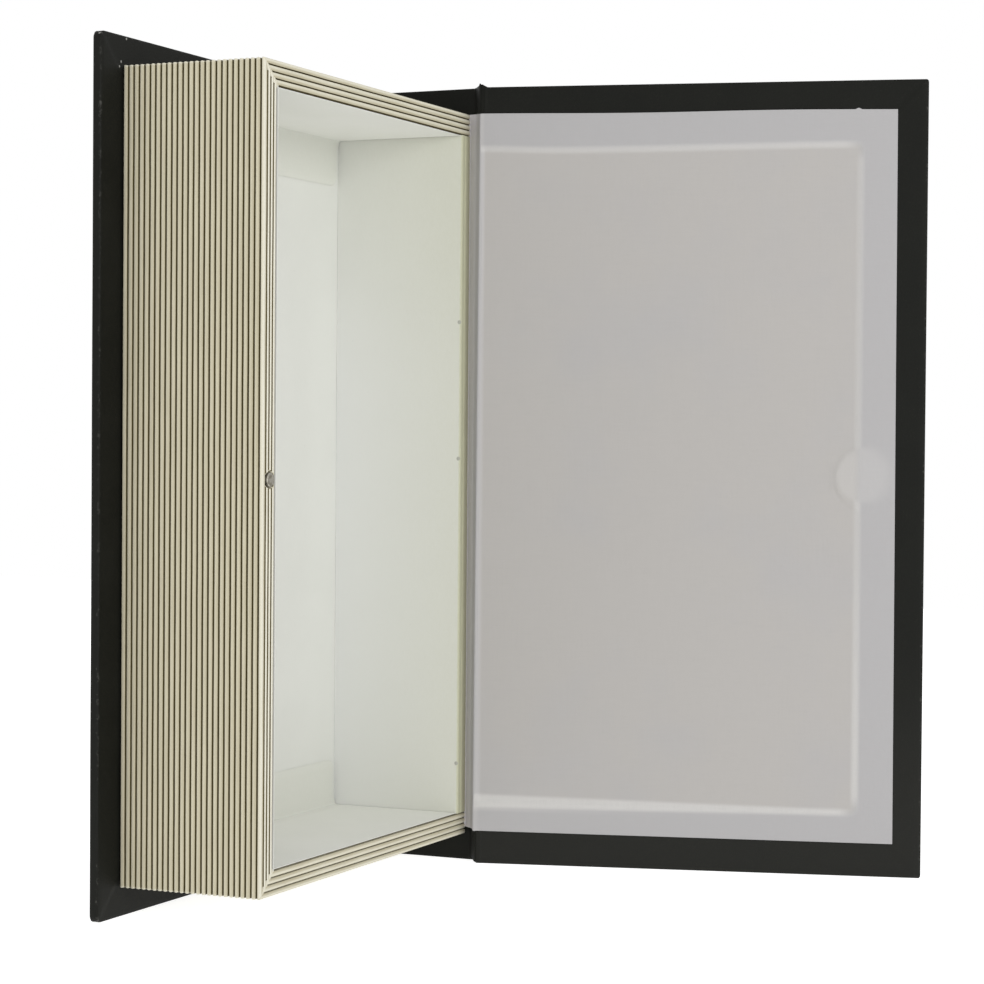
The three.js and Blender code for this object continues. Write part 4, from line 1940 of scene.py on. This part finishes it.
@dataclass
class Tray:
    """The box between the covers: page walls, a plain wall and paper linings."""

    book: Book
    pages: Material
    # The fore-edge wall's copy of the page paint, whose rim is painted lighter still as painted
    # light
    fore_pages_lit_rim: Material
    bare: Material
    lining: Material
    # The end linings' paper, painted much lighter on the walls as painted light
    end_paper_painted_light: Material
    metal: Material
    fore_extra: float = 0.98 * MM
    hole: float = 2.70 * MM
    mouth: float = 0.20 * MM
    chip: float = 0.28 * MM
    hole_inset: float = 5.30 * MM
    hole_depth: float = 5.4 * MM
    magnet_inset: float = 5.85 * MM
    magnet_rise: float = 0.22 * MM
    magnet_roll: float = 0.35 * MM
    magnet_dish: float = 0.04 * MM
    paper: float = 0.30 * MM
    thin_paper: float = 0.13 * MM
    overlap: float = 0.24 * MM
    wave: float = 0.05 * MM
    wave_length: float = 28 * MM
    rim_fold: float = 2.0 * MM
    rim_bend: float = 0.8 * MM
    rim_gap: float = 0.16 * MM
    rim_ragged: float = 0.35 * MM
    rim_worn: float = 1.4 * MM
    # Heights below which the spine lining is painted lighter, as painted light
    painted_light_below: Span = (160 * MM, 230 * MM)
    floor_bend: float = 0.9 * MM
    floor_worn: Span = (-1.2 * MM, -0.1 * MM)
    flap_feather: float = 2.0 * MM
    flap_drop: float = 0.40 * MM
    flap_inset: float = 1.6 * MM
    flap_start: Span = (1.0 * MM, 3.5 * MM)
    flap_corner: float = 3 * MM
    flap_columns: int = 28

    def walls(self) -> None:
        """Build the three page walls."""
        b = self.book
        deep = b.wall_back - b.rim
        width = b.tray_spine - b.tray_fore
        tall = b.tray_head - b.tray_tail
        thick = b.wall + self.fore_extra
        slant = thick / b.wall
        face = PageBands()
        wide = PageBands(pitch=1.84 * MM, width=0.90 * MM, offset=0.24 * MM)
        fine = PageBands(width=0.48 * MM, offset=0.0)

        def at_fore(depth: float, y: float, s: float) -> Vector:
            """A place in the fore-edge wall."""
            return Vector((b.tray_fore + depth, b.rim + y, b.tray_tail + s))

        def at_head(depth: float, y: float, s: float) -> Vector:
            """A place in the head wall."""
            return Vector((b.tray_fore + s, b.rim + y, b.tray_head - depth))

        def at_tail(depth: float, y: float, s: float) -> Vector:
            """A place in the tail wall."""
            return Vector((b.tray_fore + s, b.rim + y, b.tray_tail + depth))

        both, one = (True, True), (True, False)
        fore = ("fore_edge_pages", "fore_edge_wall", tall, both, at_fore, face, wide, thick, deep)
        head = ("head_pages", "head_wall", width, one, at_head, face, fine, b.wall, deep)
        tail = ("tail_pages", "tail_wall", width, one, at_tail, face, fine, b.wall, deep)
        for wall in (
            PageWall(*fore, seed=1.0, slant=1 / slant, drilled=True),
            PageWall(*head, seed=21.0, slant=slant),
            # The tail's rim grooves get half their groove paint, as painted light
            PageWall(*tail, seed=43.0, slant=slant, brown=0.5),
        ):
            made = wall.build()
            if wall.drilled:
                self.drill(made)
            shade(made, 50.0)
            paint = self.fore_pages_lit_rim if wall.drilled else self.pages
            hang(made, Body.CASE, paint, [wall.node])

    def drill(self, wall: Piece) -> None:
        """Cut the magnet's seat, chipped at its mouth, into the fore-edge wall.

        Args:
            wall: The fore-edge wall's mesh object.
        """
        b = self.book
        cutter = Surface("magnet_seat_cutter")
        rings = []
        depths = (-1.5 * MM, 0.0, 0.5 * MM, self.hole_depth)
        for depth, widen in zip(depths, (0.35 * MM, self.mouth, 0.0, 0.0)):
            ring = []
            for u, v in circle():
                ragged = self.chip * ripple(u, v, 0.42, 5.0 + 100 * depth)
                reach = self.hole + widen + (ragged if depth < 1 * MM else 0.0)
                x = b.tray_fore + self.hole_inset + reach * u
                ring.append(cutter.point((x, b.rim + depth, b.height / 2 + reach * v)))
            rings.append(ring)
        cutter.tube(rings)
        tool = cutter.make()
        modifier = wall.modifiers.new("seat", "BOOLEAN")
        modifier.operation = "DIFFERENCE"
        modifier.solver = "EXACT"
        modifier.object = tool
        settle(wall)
        bpy.data.objects.remove(tool)

    def sheet(
        self,
        node: str,
        rows: Sequence[Sequence[Vector]],
        way: Vector,
        finish: Material,
        thickness: float,
        worn: Callable[[Vector], float] = lambda place: 0.0,
        pale: Callable[[Vector], float] = lambda place: 0.0,
    ) -> None:
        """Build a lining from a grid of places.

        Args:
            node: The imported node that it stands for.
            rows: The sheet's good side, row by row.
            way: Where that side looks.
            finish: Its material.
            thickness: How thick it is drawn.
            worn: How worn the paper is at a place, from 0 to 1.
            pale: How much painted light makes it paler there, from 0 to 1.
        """
        surface = Surface(node + "_paper")
        grid = []
        for row in rows:
            grid.append([surface.point(at, worn=worn(at), pale=pale(at)) for at in row])
        surface.grid(grid)
        made = surface.make()
        face_towards(made, way)
        thicken(made, thickness)
        shade(made)
        hang(made, Body.CASE, finish, [node])

    def waves(self, u: float, v: float, seed: float) -> float:
        """How far a lining lies behind its level, in slight waves."""
        return self.wave * (ripple(u, v, self.wave_length, seed) - 1.0)

    def flat_lining(self, node: str, normal: Vector, spread: Spot, shift: float = 0.0) -> None:
        """Build a flat lining that fills its node's box.

        Args:
            node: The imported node.
            normal: The way out of the paper's good side, along one axis.
            spread: How far it reaches past its node's box, to meet its neighbours.
            shift: How far it is moved along +X.
        """
        low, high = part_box(node)
        move = Vector((shift, 0.0, 0.0))
        low, high = low - Vector(spread) + move, high + Vector(spread) + move
        axis = max(range(3), key=lambda index: abs(normal[index]))
        first, second = [index for index in range(3) if index != axis]
        level = high[axis] if normal[axis] > 0 else low[axis]
        rows = []
        for v in steps_between(low[second], high[second], 5 * MM):
            row = []
            for u in steps_between(low[first], high[first], 5 * MM):
                place = Vector((0.0, 0.0, 0.0))
                place[first], place[second] = u, v
                place[axis] = level + math.copysign(self.waves(u, v, axis + 2.0), -normal[axis])
                row.append(place)
            rows.append(row)
        self.sheet(node, rows, normal, self.lining, self.paper)

    def spine_lining(self) -> None:
        """Build the lining on the plain wall, folded a little way over the wall's rim."""
        low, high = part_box("spine_lining")
        face, bend = low.x, self.rim_bend
        rim = self.book.rim - self.rim_gap
        path = [(face, y) for y in steps_between(high.y + self.overlap, rim + bend, 4 * MM)]
        path += [(face + across, rim + down) for across, down in quarter(bend, 5)[1:]]
        end = high.x + self.rim_fold
        path += [(x, rim) for x in steps_between(face + bend, end, 0.4 * MM)[1:-1]]
        path.append((end, rim + 0.06 * MM))
        rows = []
        for x, y in path:
            over = smooth(x, face + bend, end)
            row = []
            for z in steps_between(low.z, high.z, 3 * MM):
                ragged = over * self.rim_ragged * ripple(z, 0.0, 9 * MM, 6.0)
                row.append(Vector((x + ragged - self.waves(y, z, 2.0) * (1 - over), y, z)))
            rows.append(row)

        def worn(place: Vector) -> float:
            """How rubbed the fold over the rim is."""
            return 1 - smooth(place.y, rim, rim + self.rim_worn)

        def pale(place: Vector) -> float:
            """How much painted light makes the lining paler, towards the tail."""
            return 1 - smooth(place.z, *self.painted_light_below)

        way = Vector((-1.0, 0.0, 0.0))
        self.sheet("spine_lining", rows, way, self.lining, self.thin_paper, worn, pale)

    def end_lining(self, node: str, inwards: float) -> None:
        """Build an end lining, folded onto the floor, with a rounded flap.

        Args:
            node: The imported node.
            inwards: 1 where the tray's inside is above it, -1 where it is below.
        """
        low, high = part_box(node)
        low.x += self.fore_extra
        wall_z = (low.z if inwards > 0 else high.z) + inwards * self.paper
        floor_y = high.y - self.paper
        reach = high.z - low.z - self.paper
        bend, corner = self.floor_bend, self.flap_corner
        path = [(y, 0.0) for y in steps_between(low.y, floor_y - bend, 4 * MM)]
        path += [(floor_y - up, out) for out, up in quarter(bend, 6)[1:-1]]
        for out in steps_between(bend, reach, 0.8 * MM):
            drop = self.flap_drop * smooth(out, reach - self.flap_feather, reach)
            path.append((floor_y + drop, out))
        rows = []
        for y, out in path:
            tip = max(0.0, out - (reach - corner))
            shrink = self.flap_inset * smooth(out, *self.flap_start)
            shrink += corner - math.sqrt(max(0.0, corner**2 - tip**2))
            z = wall_z + inwards * out
            first, last = Vector((low.x + shrink, y, z)), Vector((high.x - shrink, y, z))
            shares = [column / self.flap_columns for column in range(self.flap_columns + 1)]
            rows.append([first.lerp(last, share) for share in shares])

        def worn(place: Vector) -> float:
            """How rubbed the fold onto the floor is; the fold and the flap on the floor take the
            darker colour, without the wall's painted light.
            """
            return smooth(place.y - floor_y, *self.floor_worn)

        way = Vector((0.0, -0.2, inwards))
        self.sheet(node, rows, way, self.end_paper_painted_light, self.thin_paper, worn)

    def magnet(self) -> None:
        """Build the magnet, a dulled plug with a rolled edge."""
        b = self.book
        low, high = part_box("rim_magnet")
        radius = (high.x - low.x) / 2
        middle = b.tray_fore + self.magnet_inset
        face = low.y - self.magnet_rise
        profile = [(radius, high.y)]
        profile += [(radius - inset, face + down) for inset, down in quarter(self.magnet_roll, 5)]
        dish = self.magnet_dish
        profile += [(radius * share, face + dish * (1 - share)) for share in (0.7, 0.45, 0.2)]
        surface = Surface("rim_magnet_plug")
        rings = []
        for reach, y in profile:
            ring = [(middle + reach * u, y, b.height / 2 + reach * v) for u, v in circle()]
            rings.append([surface.point(place) for place in ring])
        surface.tube(rings)
        made = surface.make()
        shade(made)
        hang(made, Body.CASE, self.metal, ["rim_magnet"])

    def build(self) -> None:
        """Build all of the tray."""
        lap = self.overlap
        self.walls()
        dress(self.bare, "spine_wall")
        self.flat_lining("floor_lining", Vector((0.0, -1.0, 0.0)), (lap, 0.0, lap))
        inwards = Vector((1.0, 0.0, 0.0))
        self.flat_lining("fore_edge_lining", inwards, (0.0, lap, lap), self.fore_extra)
        self.spine_lining()
        self.end_lining("tail_lining", 1.0)
        self.end_lining("head_lining", -1.0)
        self.magnet()


# The studio


@dataclass(frozen=True)
class Lamp:
    """A square soft lamp that looks at a point."""

    name: str
    place: Spot
    size: float
    watts: float

    def build(self, aim: Vector) -> None:
        """Hang the lamp.

        Args:
            aim: The point that it looks at.
        """
        light = bpy.data.lights.new(self.name, "AREA")
        light.size = self.size
        light.energy = self.watts
        made = bpy.data.objects.new(self.name, light)
        made.location = self.place
        made.rotation_euler = (aim - Vector(self.place)).to_track_quat("-Z", "Y").to_euler()
        bpy.context.scene.collection.objects.link(made)


@dataclass
class Studio:
    """The floor, the lamps, the white surroundings and the camera."""

    yaw: float = 65.8876
    pitch: float = -1.1906
    roll: float = 0.4419
    eye: Spot = (-0.736886, -0.427062, 0.147861)
    lens: float = 94.145
    sensor: float = 36.0
    ambient: float = 0.68
    floor: float = 3.0
    floor_gap: float = 0.02 * MM
    aim: Spot = (0.0, -0.06, 0.13)
    lamps: tuple[Lamp, ...] = (
        Lamp("front_lamp", (-0.62, -1.26, 0.42), 0.45, 4.8),
        Lamp("side_lamp", (-1.30, -0.75, 0.34), 0.6, 2.3),
        Lamp("back_lamp", (0.9, 1.1, 0.9), 1.2, 4.0),
    )

    def camera(self) -> None:
        """Stand the camera where the photograph was taken from."""
        yaw, pitch, roll = (math.radians(v) for v in (self.yaw, self.pitch, self.roll))
        flat = math.cos(pitch)
        ahead = Vector((math.sin(yaw) * flat, math.cos(yaw) * flat, math.sin(pitch)))
        level = Vector((math.cos(yaw), -math.sin(yaw), 0.0))
        above = level.cross(ahead)
        right = level * math.cos(roll) + above * math.sin(roll)
        up = above * math.cos(roll) - level * math.sin(roll)
        data = bpy.data.cameras.new("camera")
        data.sensor_width = self.sensor
        data.lens = self.lens
        made = bpy.data.objects.new("camera", data)
        turn = Matrix((right, up, -ahead)).transposed().to_4x4()
        made.matrix_world = Matrix.Translation(Vector(self.eye)) @ turn
        bpy.context.scene.collection.objects.link(made)
        bpy.context.scene.camera = made

    def surroundings(self) -> None:
        """Light the scene from all around, with white behind it."""
        s = Shader("white_surroundings", world=True)
        bpy.context.scene.world = s.owner
        camera, glossy, through = (s.out("LightPath", output=ray) for ray in SEEN_RAYS)
        seen = s.sum_of("MAXIMUM", s.sum_of("MAXIMUM", camera, glossy), through)
        soft = s.out("Background", None, {"Color": WHITE, "Strength": self.ambient})
        white = s.out("Background", None, {"Color": WHITE, "Strength": 1.0})
        mixed = s.out("MixShader", None, {0: seen, 1: soft, 2: white})
        s.node("OutputWorld", None, {"Surface": mixed})

    def ground(self) -> None:
        """Lay the floor."""
        surface = Surface("studio_floor")
        half = self.floor / 2
        corners = [(-half, -half), (half, -half), (half, half), (-half, half)]
        surface.faces.append(tuple(surface.point((x, y, -self.floor_gap)) for x, y in corners))
        made = surface.make()
        face_towards(made, Vector((0.0, 0.0, 1.0)))
        made.data.materials.append(StudioFloor().material())

    def build(self) -> None:
        """Set up all of the studio."""
        self.camera()
        self.surroundings()
        self.ground()
        for lamp in self.lamps:
            lamp.build(Vector(self.aim))
        bpy.context.scene.view_settings.view_transform = "Standard"


def main() -> None:
    """Build the studio and the box, and report its pieces."""
    logging.basicConfig(level=logging.INFO, format="%(name)s %(message)s")
    Studio().build()
    hinge = Hinge.read()
    book = Book.read(hinge)
    cloth = BookCloth().material()
    endpaper = LinenPaper().material()
    lining = Paper(
        name="lining_paper",
        base=(0.715, 0.722, 0.680),
        cloud=(0.690, 0.697, 0.655),
        worn=(0.500, 0.500, 0.355),
        nicks=tuple((75.70 * MM, -50.45 * MM, z * MM) for z in (188.2, 140.8, 34.5)),
    )
    # Painted light: the end linings' walls are painted much lighter than the other linings
    end_paper_painted_light = Paper(
        name="end_lining_paper_painted_light",
        base=(0.860, 0.862, 0.820),
        cloud=(0.830, 0.835, 0.785),
        worn=(0.672, 0.680, 0.622),
    )
    nickel = DullMetal("dulled_nickel", (0.40, 0.385, 0.335), (0.20, 0.185, 0.14), 0.38)
    steel = DullMetal("plain_steel", (0.40, 0.40, 0.41), (0.25, 0.25, 0.25), 0.35)
    Case(book, hinge, cloth, GreyBoard().material()).build()
    Joint(book, hinge, cloth, endpaper).build()
    CoverPaper(book, hinge, endpaper, steel.material()).build()
    Tray(
        book,
        pages=PagePaint().material(),
        # The fore-edge's rim is painted lighter still, as painted light
        fore_pages_lit_rim=PagePaint("fore_edge_paint_lit_rim", (0.725, 0.702, 0.600)).material(),
        bare=BareWall(book.tray_spine).material(),
        lining=lining.material(),
        end_paper_painted_light=end_paper_painted_light.material(),
        metal=nickel.material(),
    ).build()


if __name__ == "__main__":
    main()
